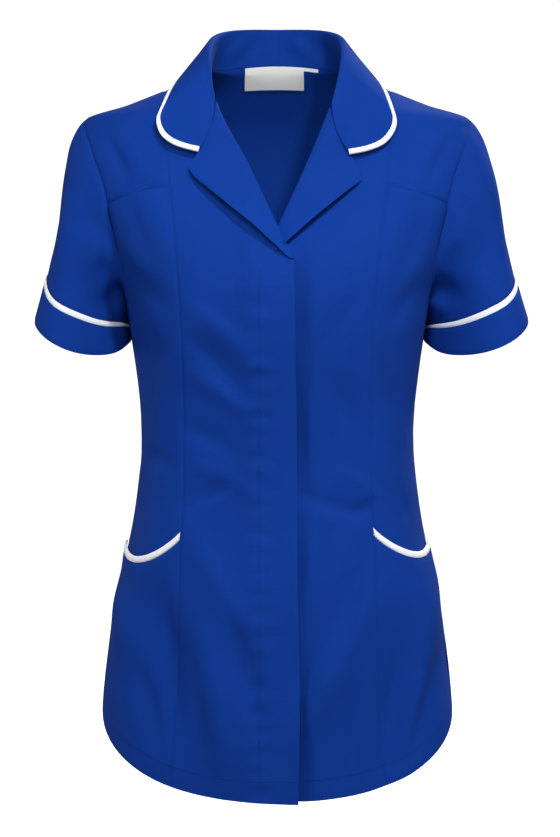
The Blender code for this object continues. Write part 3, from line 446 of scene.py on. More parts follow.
# Stage: lights as name, place, target, width and power
STAGE_MIDDLE = (0.0, 0.0, -0.35)
LIGHTS = (
    ("front", (-0.2, -4.2, 0.0), (0.0, 0.0, -0.45), 1.0, 12.0),
    ("key", (1.1, -2.7, 2.3), (0.0, 0.0, -0.5), 0.35, 90.0),
    ("side", (-3.2, -1.3, -0.4), STAGE_MIDDLE, 0.6, 27.0),
    ("fill", (3.2, -1.2, -0.5), STAGE_MIDDLE, 0.7, 22.0),
    ("neck_light", (0.0, -0.8, 0.1), (0.0, 0.05, -0.05), 0.2, 2.6),
    ("behind", (1.5, 2.6, 2.5), STAGE_MIDDLE, 0.4, 105.0),
    ("behind_low", (-3.0, 2.0, -0.2), STAGE_MIDDLE, 0.8, 16.0),
)
FLOOR_Z = -0.79
STAGE_RADIUS = 9.0
STAGE_SIDES = 96
FLOOR_GLOW = 0.8
BACKDROP_GLOW = 0.85
WORLD_COLOUR = (0.96, 0.98, 1.0, 1.0)
WORLD_STRENGTH = 0.22
CAMERA_DISTANCE = 4.0
CAMERA_X = 0.0025
CAMERA_Z = -0.3525
SENSOR_WIDTH = 36.0
VIEW_HEIGHT = 0.837


def smoothstep(low, high, value):
    """0 below low, 1 above high, and 3t^2 - 2t^3 between them."""
    t = np.clip((value - low) / (high - low), 0.0, 1.0)
    return t * t * (3.0 - 2.0 * t)


def unit(vectors):
    """Vectors brought to length 1."""
    return vectors / np.maximum(np.linalg.norm(vectors, axis=-1, keepdims=True), 1e-12)


def distance_along(points, axis=0):
    """Distance run along a line of points, or down or across a grid, from its first point."""
    run = np.cumsum(np.linalg.norm(np.diff(points, axis=axis), axis=-1), axis=axis)
    return np.concatenate([0.0 * run.take([0], axis), run], axis=axis)


def piping_crown(cells, height):
    """How far piping stands out across its width, in rows: height sin(pi share)^PIPING_ROUND."""
    return height * np.sin(np.linspace(0.0, np.pi, cells + 1))[:, None] ** PIPING_ROUND


def hermite(start, end, leave, arrive, t):
    """A cubic from start to end with its slopes there: start (1+2t)(1-t)^2 + leave t(1-t)^2 +
    end t^2(3-2t) + arrive t^2(t-1)."""
    return (start * (1 + 2 * t) * (1 - t) ** 2 + leave * t * (1 - t) ** 2
            + end * t * t * (3 - 2 * t) + arrive * t * t * (t - 1))


def cubic(at, values, wanted):
    """A smooth cubic through values at rising places. Its slope at each is the mean of the slopes
    on both sides."""
    slopes = np.gradient(values, at, axis=0)
    wanted = np.clip(wanted, at[0], at[-1])
    row = np.clip(np.searchsorted(at, wanted) - 1, 0, len(at) - 2)
    span = at[row + 1] - at[row]
    t = (wanted - at[row]) / span
    if values.ndim > 1:
        shape = t.shape + (1,) * (values.ndim - 1)
        t, span = t.reshape(shape), span.reshape(shape)
    return hermite(values[row], values[row + 1], slopes[row] * span, slopes[row + 1] * span, t)


def curve_through(table, column, z):
    """A column of a table at height z."""
    return cubic(table[::-1, Z_COLUMN], table[::-1, column], z)


def half_width(z):
    """Half width of the body at height z. The inner part of the shoulder seam is straight."""
    straight = np.interp(z, TORSO[::-1, Z_COLUMN], TORSO[::-1, WIDTH_COLUMN])
    return np.where(z > STRAIGHT_SHOULDER_Z, straight, curve_through(TORSO, WIDTH_COLUMN, z))


def angle_at(x, z):
    """Angle round the body, in radians, of the point at distance x from the centre line."""
    return np.arcsin(np.clip(x / half_width(z), -1.0, 1.0))


def bare_body(angle, z, back):
    """The plain body surface: x = a sin(angle), y = -f cos(angle) (1 + SQUARENESS sin(angle)^2)."""
    depth = curve_through(TORSO, BACK_COLUMN if back else FRONT_COLUMN, z)
    x = half_width(z) * np.sin(angle)
    y = depth * np.cos(angle) * (1.0 + SQUARENESS * np.sin(angle) ** 2)
    return np.stack([x, y if back else -y, z + 0.0 * x], axis=-1)


def outward(angle, z, back):
    """Unit normal of the plain body surface, from differences a little way either side."""
    step_angle, step_z = 0.01, 0.0015
    across = bare_body(angle + step_angle, z, back) - bare_body(angle - step_angle, z, back)
    up = bare_body(angle, z + step_z, back) - bare_body(angle, z - step_z, back)
    return unit(np.cross(up, across) if back else np.cross(across, up))


def crease_depth(u, v, table):
    """Height of the creases at (u, v). Each runs along a slightly bent line, swells and dies away
    as sin(pi run)^CREASE_SWELL along it, and is a bell across it that is steeper on one side."""
    out = np.zeros(np.broadcast(u, v).shape)
    for number, (u0, v0, u1, v1, bend, half, depth) in enumerate(table):
        along = np.array([u1 - u0, v1 - v0])
        length = np.linalg.norm(along)
        along = along / length
        run = np.clip(((u - u0) * along[0] + (v - v0) * along[1]) / length, 0.0, 1.0)
        aside = (v - v0) * along[0] - (u - u0) * along[1] - bend * np.sin(np.pi * run)
        skew = CREASE_SKEW if number % 2 else -CREASE_SKEW
        width = half * (1.0 + skew * np.tanh(aside / half))
        out = out + depth * np.sin(np.pi * run) ** CREASE_SWELL * np.exp(-((aside / width) ** 2))
    return CREASE_STRENGTH * out


def placket_puckers(x, z):
    """Small uneven puckers along the placket stitching: a sum of waves down it, in a narrow bell
    across it."""
    waves = (np.sin(z * 290.0 + 1.2 * np.sin(z * 37.0)) + 0.7 * np.sin(z * 171.0 + 2.0)
             + 0.3 * np.sin(z * 433.0 + 0.7 + x * 60.0))
    below = smoothstep(-BREAK_Z, -BREAK_Z + 0.05, -z)
    bell = np.exp(-(((x + PLACKET_WIDTH) / PUCKER_HALF_WIDTH) ** 2))
    return PUCKER_DEPTH * waves * bell * below


def body(angle, z, raised=0.0, back=False):
    """Point of the body at an angle and height, raised along the normal, creases included."""
    point = bare_body(angle, z, back)
    x = point[..., 0]
    creases = (BACK_CREASE_GAIN * crease_depth(x, z, BACK_CREASES) if back
               else crease_depth(x, z, FRONT_CREASES))
    creases = creases * (1.0 + SKIRT_CREASE_GAIN * smoothstep(*SKIRT_CREASES_DOWN, -z))
    if not back:
        creases = creases + placket_puckers(x, z)
    return point + outward(angle, z, back) * (raised + creases)[..., None]


def grid_faces(rows, columns, first, closed):
    """Quads of a grid of points, row by row. closed joins the last column to the first."""
    row, column = np.meshgrid(np.arange(rows - 1), np.arange(columns if closed else columns - 1),
                              indexing="ij")
    after = (column + 1) % columns
    quads = [row * columns + column, row * columns + after,
             (row + 1) * columns + after, (row + 1) * columns + column]
    return first + np.stack([q.ravel() for q in quads], axis=-1)


def grid_plan(points):
    """Flat coordinates of a grid: the mean distance along its rows and down its columns."""
    right = np.linalg.norm(np.diff(points, axis=1), axis=-1).mean(axis=0)
    down = np.linalg.norm(np.diff(points, axis=0), axis=-1).mean(axis=1)
    u = np.append(0.0, np.cumsum(right))
    v = np.append(0.0, np.cumsum(down))
    return np.stack(np.broadcast_arrays(u[None, :], -v[:, None]), axis=-1)


def add_mesh(name, points, faces, plan=None, smooth_angle=50.0):
    """A mesh object at the origin, with its flat coordinates in the map called cloth."""
    mesh = bpy.data.meshes.new(name)
    mesh.from_pydata(points.tolist(), [], faces.tolist())
    if plan is not None:
        layer = mesh.uv_layers.new(name="cloth")
        corner = np.zeros(len(mesh.loops), dtype=np.int32)
        mesh.loops.foreach_get("vertex_index", corner)
        layer.data.foreach_set("uv", plan[corner].astype(np.float32).ravel())
    mesh.shade_smooth()
    mesh.set_sharp_from_angle(angle=np.radians(smooth_angle))
    made = bpy.data.objects.new(name, mesh)
    bpy.context.scene.collection.objects.link(made)
    return made


def shell(name, outer, inner, closed=False):
    """A closed shell between two grids of points, its outer and inner rims joined by flat walls."""
    rows, columns = outer.shape[:2]
    count = rows * columns
    faces = grid_faces(rows, columns, 0, closed)
    faces = [faces[:, ::-1], faces + count]
    rims = [np.arange(columns), (rows - 1) * columns + np.arange(columns)[::-1]]
    if closed:
        rims = [np.append(rims[0], rims[0][0]), np.append(rims[1], rims[1][0])]
    else:
        rims.append(np.arange(rows)[::-1] * columns)
        rims.append(np.arange(rows) * columns + columns - 1)
    for rim in rims:
        faces.append(np.stack([rim[:-1], rim[1:], rim[1:] + count, rim[:-1] + count], axis=-1))
    plan = grid_plan(outer).reshape(-1, 2)
    points = np.concatenate([outer.reshape(-1, 3), inner.reshape(-1, 3)])
    return add_mesh(name, points, np.concatenate(faces), np.concatenate([plan, plan]))


def edge_dip(points, sides=(1, 1, 1, 1), closed=False):
    """How far a panel dips near its edges, top, bottom, first and last column: a bell of the
    distance from each edge."""
    down, right = distance_along(points), distance_along(points, 1)
    ways = [down, down[-1:] - down, right, right[:, -1:] - right]
    if closed:
        ways = ways[:2]
    dips = [share * np.exp(-((way / SEAM_DIP_WIDTH) ** 2)) for share, way in zip(sides, ways)]
    return SEAM_DIP * np.max(dips, axis=0)


def body_panel(name, angle, z, raised=0.0, back=False, thick=None, sides=(1, 1, 1, 1)):
    """A shell on the body surface, from grids of angles and heights."""
    thick = sizes().cloth if thick is None else thick
    raised = raised + 0.0 * angle
    dip = edge_dip(bare_body(angle, z, back), sides)
    outer = body(angle, z, raised - dip, back)
    inner = body(angle, z, raised - thick, back)
    if back:
        outer, inner = outer[:, ::-1], inner[:, ::-1]
    return shell(name, outer, inner)


def shares(cells):
    """Even shares from 0 to 1."""
    return np.linspace(0.0, 1.0, cells + 1)


def spaced(start, end, cells, power=1.0):
    """Heights from start to end, crowded towards the start where power is over 1."""
    return start + (end - start) * shares(cells) ** power


def seam_crowded(cells):
    """Shares from 0 to 1 crowded at both ends: t - SEAM_CROWDING sin(2 pi t)."""
    t = shares(cells)
    return t - SEAM_CROWDING * np.sin(2.0 * np.pi * t)


def fine(cells):
    """A count of cells made finer by the detail setting."""
    return cells * sizes().detail


def inset(angle, z, back=False):
    """The four edges of a panel's grid moved in by a part of the seam gap, as sewn seams are drawn
    close."""
    for edge, beside in ((0, 1), (-1, -2)):
        for flip in (False, True):
            a, h = (angle.T, z.T) if flip else (angle, z)
            apart = np.linalg.norm(bare_body(a[beside], h[beside], back)
                                   - bare_body(a[edge], h[edge], back), axis=-1)
            share = np.minimum(SEAM_DRAWN * SEAM_GAP / np.maximum(apart, 1e-6), 0.8)
            a[edge] += share * (a[beside] - a[edge])
            h[edge] += share * (h[beside] - h[edge])
    return angle, z


def hem_height(angle, back=False):
    """The curved hem: lowest in the middle, highest at the side seams."""
    low = HEM_LOW_Z + (BACK_HEM_LIFT if back else 0.0)
    rise = HEM_RISE - (BACK_HEM_LIFT if back else 0.0)
    return low + rise * (1.0 - np.cos(angle)) ** HEM_POWER


def breast_mouth_height(across):
    """Height of the breast pocket mouth, from the princess seam (0) to the armhole (1)."""
    return BREAST_MOUTH_Z - BREAST_MOUTH_DROP * across ** BREAST_MOUTH_CURVE


def hip_mouth_height(across, side):
    """Height of the hip pocket mouth, from the princess seam (0) to the side seam (1)."""
    straight = HIP_MOUTH_Z + (HIP_MOUTH_SIDE_Z - HIP_MOUTH_Z) * across
    rise = HIP_MOUTH_LEFT_RISE if side == "left" else 0.0
    return straight + rise - HIP_MOUTH_DIP * np.sin(np.pi * across ** HIP_MOUTH_SKEW)


def pocket_piping_width(across):
    """Upright width of the piping on the hip pocket mouth: most at the princess seam, where the
    mouth slants."""
    return sizes().pocket_piping * (1.0 - PIPING_TAPER * smoothstep(0.0, PIPING_TAPER_END, across))


def hip_mouth_lift(across):
    """How far the hip pocket stands off the front beneath it, from nothing at the princess seam."""
    return HIP_MOUTH_LIFT * np.sin(0.5 * np.pi * np.minimum(across / HIP_MOUTH_LIFT_SHARE, 1.0))


def breast_mouth_lift(across):
    """How far the breast pocket mouth stands off, nothing at both its ends."""
    ends = np.minimum(np.minimum(across, 1.0 - across) / BREAST_MOUTH_LIFT_SHARE, 1.0)
    return BREAST_MOUTH_LIFT * np.sin(0.5 * np.pi * ends)


def lap_raise(x):
    """How far the right front is raised over the left one, at true x."""
    return LAP_RAISE * smoothstep(LAP_RAISE_FROM_X, LAP_RAISE_TO_X, x)


def lap_dip(x, z):
    """How far the left front dips beside the lap: a bell across, its own share at each height."""
    along = np.interp(-z, LAP_DIP_ALONG[:, 0], LAP_DIP_ALONG[:, 1])
    return LAP_DIP_DEPTH * np.exp(-((x - LAP_DIP_X) / LAP_DIP_HALF) ** 2) * along


def princess_levels():
    """Heights of the rows down the princess seam, from the shoulder to the hip pocket."""
    return np.concatenate([
        spaced(PRINCESS_TOP_Z, BREAST_MOUTH_Z, fine(SHOULDER_ROWS), ROW_CROWDING),
        spaced(BREAST_MOUTH_Z, BREAK_Z, fine(BREAK_ROWS))[1:],
        spaced(BREAK_Z, HIP_MOUTH_Z, fine(WAIST_ROWS))[1:],
    ])


def princess_angle(z):
    """Angle of the princess seam at height z. Its top is on the shoulder seam, at 90 degrees."""
    return np.where(z < PRINCESS_TOP_Z, angle_at(curve_through(PRINCESS, 1, z), z), 0.5 * np.pi)


def armhole_levels(behind=False):
    """Heights of the armhole's points, in front or behind, from shoulder tip to underarm."""
    if behind:
        turn = np.linspace(0.0, np.pi, fine(BACK_ARMHOLE_ROWS) + 1)
        return SHOULDER_TIP_Z + (UNDERARM_Z - SHOULDER_TIP_Z) * 0.5 * (1.0 - np.cos(turn))
    mouth = breast_mouth_height(1.0)
    turn = np.linspace(0.0, 0.5 * np.pi, fine(UNDERARM_ROWS) + 1)
    above = spaced(SHOULDER_TIP_Z, mouth, fine(SHOULDER_ROWS), ROW_CROWDING)
    return np.concatenate([above, (mouth + (UNDERARM_Z - mouth) * np.sin(turn))[1:]])


def armhole_angle(z, behind=False):
    """Angle of the armhole at height z, read off a smooth curve through the table's rows."""
    rows = np.arange(len(ARMHOLE), dtype=float)
    dense = cubic(rows, ARMHOLE, np.linspace(0.0, rows[-1], 400))
    return np.radians(np.interp(z, dense[::-1, 0], dense[::-1, 2 if behind else 1]))


def side_levels():
    """Heights of the rows down the side seam, from the underarm to the hip pocket."""
    rows = fine(BREAK_ROWS + WAIST_ROWS - UNDERARM_ROWS)
    return spaced(UNDERARM_Z, HIP_MOUTH_SIDE_Z, rows)


def front_panel(name, side, angle, z, raised=0.0, thick=None, sides=(1, 1, 1, 1)):
    """A front panel from grids that run outwards from the centre line. The right one is the left
    one turned over, but for what laps."""
    raised = raised + 0.0 * angle
    angle, z = inset(angle.copy(), z.copy())
    if side == "right":
        angle, z, raised = -angle[:, ::-1], z[:, ::-1], raised[:, ::-1]
        raised = raised + lap_raise(half_width(z) * np.sin(angle))
        sides = (sides[0], sides[1], sides[3], sides[2])
    else:
        raised = raised - lap_dip(half_width(z) * np.sin(angle), z)
    return body_panel(f"{name}_{side}", angle, z, raised, thick=thick, sides=sides)


def between(first, last, across):
    """Steps across each row, from a column of first values to one of last values."""
    return first[:, None] + (last - first)[:, None] * across[None, :]


def centre_front(side):
    """The panel from the princess seam to the roll line, and below the break to the front edge."""
    column = SIDE_COLUMN[side]
    shoulder = fine(SHOULDER_ROWS)
    seam = princess_levels()
    inner = seam.copy()
    inner[:shoulder + 1] = spaced(NECK_POINT_Z, BREAST_MOUTH_Z, shoulder, ROW_CROWDING)
    inner_x = np.where(inner >= BREAK_Z, curve_through(NECKLINE, column, inner),
                       -curve_through(LAP, column, inner))
    inner_angle = angle_at(inner_x, inner)
    inner_angle[0] = 0.5 * np.pi
    across = seam_crowded(fine(CENTRE_COLUMNS))
    top = between(inner_angle, princess_angle(seam), across)
    top_z = between(inner, seam, across)
    down = shares(fine(SKIRT_ROWS))[1:]
    low_z = HIP_MOUTH_Z + (HEM_LOW_Z - HIP_MOUTH_Z) * down
    edge = angle_at(-curve_through(LAP, column, low_z), low_z)
    skirt = between(edge, princess_angle(low_z), across)
    skirt_z = HIP_MOUTH_Z + (hem_height(skirt) - HIP_MOUTH_Z) * down[:, None]
    if side == "right":
        skirt_z = skirt_z - LAP_HEM_DROP * (1.0 - across) ** 3 * down[:, None] ** 3
    return front_panel("cloth_centre_front", side, np.concatenate([top, skirt]),
                       np.concatenate([top_z, skirt_z]), sides=(1.0, 0.4, 0.4, 1.0))


def upper_side_front(side):
    """The panel above the breast pocket mouth. Its lower edge tucks in behind the mouth."""
    rows = fine(SHOULDER_ROWS) + 1
    seam, arm = princess_levels()[:rows], armhole_levels()[:rows]
    across = seam_crowded(fine(SIDE_COLUMNS))
    angle = between(princess_angle(seam), armhole_angle(arm), across)
    z = between(seam, arm, across)
    down = np.linspace(0.0, 1.0, rows)[:, None] ** 3
    ends = smoothstep(*BREAST_TUCK_SPAN, across) * smoothstep(*BREAST_TUCK_SPAN, 1.0 - across)
    z = z + (breast_mouth_height(across) - z[-1] - MOUTH_TUCK * ends) * down
    return front_panel("cloth_upper_side_front", side, angle, z, sides=(1, 4.5, 1, 1))


def side_front(side):
    """The panel from the breast pocket mouth to the hip pocket mouth, round the underarm."""
    seam = princess_levels()[fine(SHOULDER_ROWS):]
    arm = armhole_levels()[fine(SHOULDER_ROWS):]
    outer = np.concatenate([arm, side_levels()[1:]])
    outer_angle = np.concatenate([armhole_angle(arm), np.full(len(outer) - len(arm), 0.5 * np.pi)])
    across = seam_crowded(fine(SIDE_COLUMNS))
    angle = between(princess_angle(seam), outer_angle, across)
    z = between(seam, outer, across)
    down = np.linspace(0.0, 1.0, len(seam))[:, None]
    tuck = MOUTH_TUCK * smoothstep(*HIP_TUCK_SPAN, across)
    z = (z + (breast_mouth_height(across) - z[0]) * (1.0 - down) ** 3
         + (hip_mouth_height(across, side) - z[-1] - tuck) * down ** 3)
    raised = BREAST_MOUTH_GAPE * breast_mouth_lift(across) * (1.0 - down) ** 6
    return front_panel("cloth_side_front", side, angle, z, raised, sides=(0.5, 1, 1, 1))


def pocket_piping(side):
    """The piping along the hip pocket mouth, rounded across its width."""
    across = seam_crowded(fine(SIDE_COLUMNS))
    start = princess_angle(HIP_MOUTH_Z)
    mouth_angle = start + (0.5 * np.pi - start) * across
    steps = shares(POCKET_PIPING_CELLS)[:, None]
    crown = piping_crown(POCKET_PIPING_CELLS, POCKET_PIPING_CROWN) - POCKET_PIPING_SUNK
    return front_panel("pocket_piping_cloth", side, mouth_angle + 0.0 * steps,
                       hip_mouth_height(across, side) - pocket_piping_width(across) * steps,
                       hip_mouth_lift(across) + crown, PIPING_WALL, sides=(0, 0, 0.6, 0.6))


def pocket_front(side):
    """The panel from the hip pocket mouth to the hem."""
    across = seam_crowded(fine(SIDE_COLUMNS))
    down = shares(fine(SKIRT_ROWS))[:, None]
    top = hip_mouth_height(across, side) - pocket_piping_width(across)
    seam_z = top[0] + (HEM_LOW_Z - top[0]) * down[:, 0]
    angle = between(princess_angle(seam_z), np.full(len(seam_z), 0.5 * np.pi), across)
    z = top + (hem_height(angle) - top) * down
    fade = 1.0 - smoothstep(0.0, MOUTH_FADE, top - z)
    fade = fade * (1.0 - smoothstep(0.8, 1.0, across) * smoothstep(0.0, MOUTH_SIDE_FADE, top - z))
    return front_panel("cloth_pocket_front", side, angle, z, hip_mouth_lift(across) * fade,
                       sides=(1, 0.4, 1, 1))


def back_panel():
    """The back, in one piece from side seam to side seam, with a curved neck and hem."""
    half = fine(SHOULDER_ROWS) // 2
    shoulder = np.concatenate([spaced(NECK_POINT_Z, PRINCESS_TOP_Z, half),
                               spaced(PRINCESS_TOP_Z, SHOULDER_TIP_Z, half)[1:]])
    arm = armhole_levels(behind=True)
    sides = side_levels()
    low = spaced(HIP_MOUTH_SIDE_Z, hem_height(0.5 * np.pi, True), fine(SKIRT_ROWS - 2))
    z = np.concatenate([shoulder, arm[1:], sides[1:], low[1:]])
    edge = np.full(len(z), 0.5 * np.pi)
    edge[len(shoulder):len(shoulder) + len(arm) - 1] = armhole_angle(arm[1:], True)
    across = 2.0 * seam_crowded(fine(BACK_COLUMNS)) - 1.0
    angle = edge[:, None] * across
    z = z[:, None] + 0.0 * angle
    sag = smoothstep(UNDERARM_Z, hem_height(0.5 * np.pi, True), z[:, :1]) ** 1.5
    z = z + (hem_height(angle, True) - hem_height(0.5 * np.pi, True)) * sag
    rows = np.linspace(0.0, len(z) / fine(SHOULDER_ROWS), len(z))
    neck = (1.0 - smoothstep(0.0, 1.0, rows))[:, None]
    z = z + BACK_NECK_RISE * np.cos(angle) ** 2 * neck
    angle, z = inset(angle, z, True)
    return body_panel("cloth_back", angle, z, back=True, sides=(0.6, 0.4, 1, 1))


def grid_normals(points, closed=False):
    """Unit normals of a grid of points, away from the side its columns and rows turn round."""
    down = np.gradient(points, axis=0)
    if closed:
        right = np.roll(points, -1, axis=1) - np.roll(points, 1, axis=1)
    else:
        right = np.gradient(points, axis=1)
    return unit(np.cross(down, right))


def free_shell(name, points, thick, raised, closed=False):
    """A shell from a free grid of points: its outer side is raised off them."""
    normal = grid_normals(points, closed)
    raised = (raised + 0.0 * points[..., 0])[..., None]
    return shell(name, points + normal * raised, points + normal * (raised - thick), closed)


def tube(name, side, points, thick, raised):
    """A closed shell on one side from a grid made for the left, its columns to the right again."""
    if side == "left":
        points, raised = points[:, ::-1], raised[:, ::-1]
    else:
        points = points * MIRROR
    return free_shell(f"{name}_{side}", points, thick, raised, closed=True)


def armhole_loop(side):
    """Points round the armhole, from the shoulder tip to the front, the underarm and the back, and
    the share of the way round of each."""
    sign = SIDE_SIGN[side]
    front, behind = armhole_levels(), armhole_levels(behind=True)
    ahead = body(sign * armhole_angle(front), front)
    after = body(sign * armhole_angle(behind, True), behind, 0.0, True)[::-1]
    halves = [distance_along(half) for half in (ahead, after)]
    turn = np.pi * np.concatenate([start + run[:-1] / run[-1] for start, run in enumerate(halves)])
    loop = np.concatenate([ahead[:-1], after[:-1]])
    return loop * np.array([sign, 1.0, 1.0]), turn


def arm_loop(row, side, turn):
    """The sleeve end (row 0) or cuff hem (row 1): an ellipse, tilted and low in front."""
    (reach_right, reach_left, out_z, in_x, in_z, half_depth, dip, forward,
     in_back) = SLEEVE_LOOPS[row]
    far = np.array([reach_right if side == "right" else reach_left, -forward, out_z])
    near = np.array([in_x, in_back, in_z])
    ahead = np.array([0.0, -half_depth, -dip])
    return (0.5 * (far + near) + np.cos(turn)[:, None] * 0.5 * (far - near)
            + np.sin(turn)[:, None] * ahead)


def sleeve_creases(side, turn, share):
    """Height of a sleeve's creases: the same bells, in shares of the turn and of the way down."""
    table = SLEEVE_CREASES[side]
    flat = np.stack([table[:, 0] / 360.0, 0.5 * table[:, 1], table[:, 2] / 360.0, 0.5 * table[:, 3],
                     SLEEVE_CREASE_BEND * np.sign(table[:, 5]), SLEEVE_CREASE_WIDTH * table[:, 4],
                     table[:, 5]], axis=-1)
    u = turn / (2.0 * np.pi)
    bells = sum(crease_depth(u + whole, 0.5 * share, flat) for whole in (-1.0, 0.0, 1.0))
    return SLEEVE_CREASE_GAIN * bells


def sleeve_loops(side):
    """The armhole, the sleeve's end and the cuff hem as loops of points, the turn of each point,
    and the way and the reach with which the sleeve leaves the armhole."""
    start, turn = armhole_loop(side)
    end, hem = arm_loop(0, side, turn), arm_loop(1, side, turn)
    sag, sharper = SLEEVE_END_SAG[side]
    share = SLEEVE_SAG_SHARES[0] + SLEEVE_SAG_SHARES[1] * np.sin(turn)
    end[:, 2] -= share * (sag * np.sin(2.0 * turn) + sharper * np.sin(4.0 * turn))
    rise, place, half = CUFF_CORNER
    hem[:, 2] += rise * np.exp(-((turn - place) / half) ** 2)
    reach = np.linalg.norm(end - start, axis=1)[:, None]
    top = 0.5 * (1.0 + np.cos(turn))
    parts = np.stack([1.0 + 0.0 * turn, top, np.sin(turn) ** 2], axis=-1)
    leave = np.stack([parts @ SLEEVE_LEAVES_OUTWARD, -SLEEVE_LEAVES_FORWARD * np.sin(turn),
                      parts @ SLEEVE_LEAVES_UP], axis=-1)
    return start - leave * ARMHOLE_TUCK, end, hem, turn, leave, reach


def sleeve_set(side):
    """A sleeve, its piping and its cuff. The sleeve runs from the armhole to its end along cubic
    curves with a pull at either end, and goes on under the piping. The piping and the cuff carry
    straight on to the cuff hem."""
    start, end, hem, turn, leave, reach = sleeve_loops(side)
    share = seam_crowded(fine(SLEEVE_ROWS))[:, None]
    points = hermite(start, end, SLEEVE_START_PULL * reach * leave,
                     SLEEVE_END_PULL * reach * unit(hem - end), share[..., None])
    inner = 0.5 * (1.0 - np.cos(turn))
    lean = 1.0 - smoothstep(SLEEVE_LEAN_SPAN[1], 1.0, share)
    lean = smoothstep(0.0, SLEEVE_LEAN_SPAN[0], share) * lean
    points[..., 0] -= SLEEVE_LEAN * inner ** 3 * lean
    creases = sleeve_creases(side, turn[None, :], share)
    steady = 1.0 - SLEEVE_CREASE_LOSS * smoothstep(SLEEVE_CREASE_SPAN[1], 1.0, share)
    steady = smoothstep(0.0, SLEEVE_CREASE_SPAN[0], share) * steady
    raised = creases * steady - edge_dip(points, (1, 1, 0, 0), closed=True)
    depth = np.linalg.norm(hem - end, axis=1).mean()
    gap, edge = SEAM_GAP / depth, CUFF_PIPING_SHARE * sizes().piping / depth
    ripple = CUFF_RIPPLE * creases[-1]
    under = np.linspace(0.0, edge + SLEEVE_UNDERLAP / depth, 6)[1:, None]
    points = np.concatenate([points, end + (hem - end) * under[..., None]])
    raised = np.concatenate([raised, ripple - PIPING_TUCK + 0.0 * under])
    sleeve = tube("cloth_sleeve", side, points, sizes().cloth, raised)
    across = np.linspace(gap, edge, CUFF_PIPING_CELLS + 1)[:, None, None]
    piping = tube("cuff_piping_cloth", side, end + (hem - end) * across, CUFF_PIPING_WALL,
                  PIPING_PROUD + piping_crown(CUFF_PIPING_CELLS, CUFF_PIPING_CROWN) + ripple)
    share = seam_crowded(fine(CUFF_ROWS))[:, None]
    across = edge + gap + (1.0 - edge - gap) * share[..., None]
    points = end + (hem - end) * across
    soft = sum(height * np.sin(waves * turn + phase) * share ** power
               for height, waves, phase, power in CUFF_WAVES)
    raised = CUFF_PROUD + ripple[None, :] * (1.0 - share) + soft
    raised = raised - edge_dip(points, (0.8, 0.8, 0, 0), closed=True)
    return sleeve, piping, tube("cloth_cuff", side, points, CUFF_WALL, raised)


def body_at(x, z, raised=0.0):
    """Point of the front at distance x from the centre line and height z."""
    return body(angle_at(x, z), z, raised + 0.0 * x)


def neck_height(angle):
    """Height of the back neck seam, round from the middle (0) to the shoulder (90 degrees)."""
    return NECK_POINT_Z + BACK_NECK_RISE * np.cos(angle) ** 2


def collar_lines(side):
    """The neck seam, the roll line and the collar's edge, from the middle of the back to the gorge,
    all on the left side, and the share of the front that each column has run."""
    angle = np.linspace(0.0, 0.5 * np.pi, fine(COLLAR_BACK_CELLS) + 1)
    seam = body(angle, neck_height(angle), 0.0, True)
    height = (COLLAR_BACK_HEIGHT - COLLAR_SIDE_HEIGHT) * np.sqrt(np.abs(np.cos(angle)))
    height = COLLAR_SIDE_HEIGHT + height + ROLL_CROWN * np.sin(2.0 * angle) ** 2
    roll = seam + np.stack([0.0 * angle, ROLL_BACK * np.cos(angle), height], axis=-1)
    edge_z = COLLAR_BACK_EDGE_Z + (COLLAR_EDGE[0, 1] - COLLAR_BACK_EDGE_Z) * np.sin(angle) ** 2
    edge = body(angle, edge_z, COLLAR_RAISE, True)
    run = shares(fine(COLLAR_FRONT_CELLS))[1:]
    z = NECK_POINT_Z + (GORGE_Z[side] - NECK_POINT_Z) * run
    neck_x = curve_through(NECKLINE, SIDE_COLUMN[side], z)
    front_seam = body_at(neck_x, z, COLLAR_SEAT * smoothstep(0.0, 0.2, run))
    height = COLLAR_SIDE_HEIGHT - COLLAR_GORGE_HEIGHT
    height = COLLAR_GORGE_HEIGHT + height * (1 - run) ** COLLAR_FALL_POWER
    forward = (ROLL_FORWARD + ROLL_BELLY * np.sin(np.pi * run)) * smoothstep(0.0, 0.3, run)
    front_roll = front_seam + np.stack([0.0 * run, -forward, height], axis=-1)
    edges = cubic(np.linspace(0.0, 1.0, len(COLLAR_EDGE)), COLLAR_EDGE, run)
    columns = edges[:, :2] if side == "right" else edges[:, 2:]
    front_edge = body_at(columns[:, 0], columns[:, 1], COLLAR_RAISE)
    return (np.concatenate([seam, front_seam]), np.concatenate([roll, front_roll]),
            np.concatenate([edge, front_edge]), np.concatenate([0.0 * angle, run]))


def clear_of_body(point, behind):
    """A point of the fall moved forward, or back where it is behind, until it clears the body."""
    angle = angle_at(point[..., 0], point[..., 2])
    over = np.abs(point[..., 0]) < BODY_SHARE * half_width(point[..., 2])
    ahead = body(angle, point[..., 2], COLLAR_RAISE)[..., 1]
    after = body(angle, point[..., 2], COLLAR_RAISE, True)[..., 1]
    y = np.where(behind, np.maximum(point[..., 1], after), np.minimum(point[..., 1], ahead))
    point = point.copy()
    point[..., 1] = np.where(over, y, point[..., 1])
    return point


def softened(points, times):
    """A grid with each inner row moved towards the mean of its neighbours, some times over."""
    points = points.copy()
    for _ in range(times):
        points[1:-1] = 0.25 * points[:-2] + 0.5 * points[1:-1] + 0.25 * points[2:]
    return points


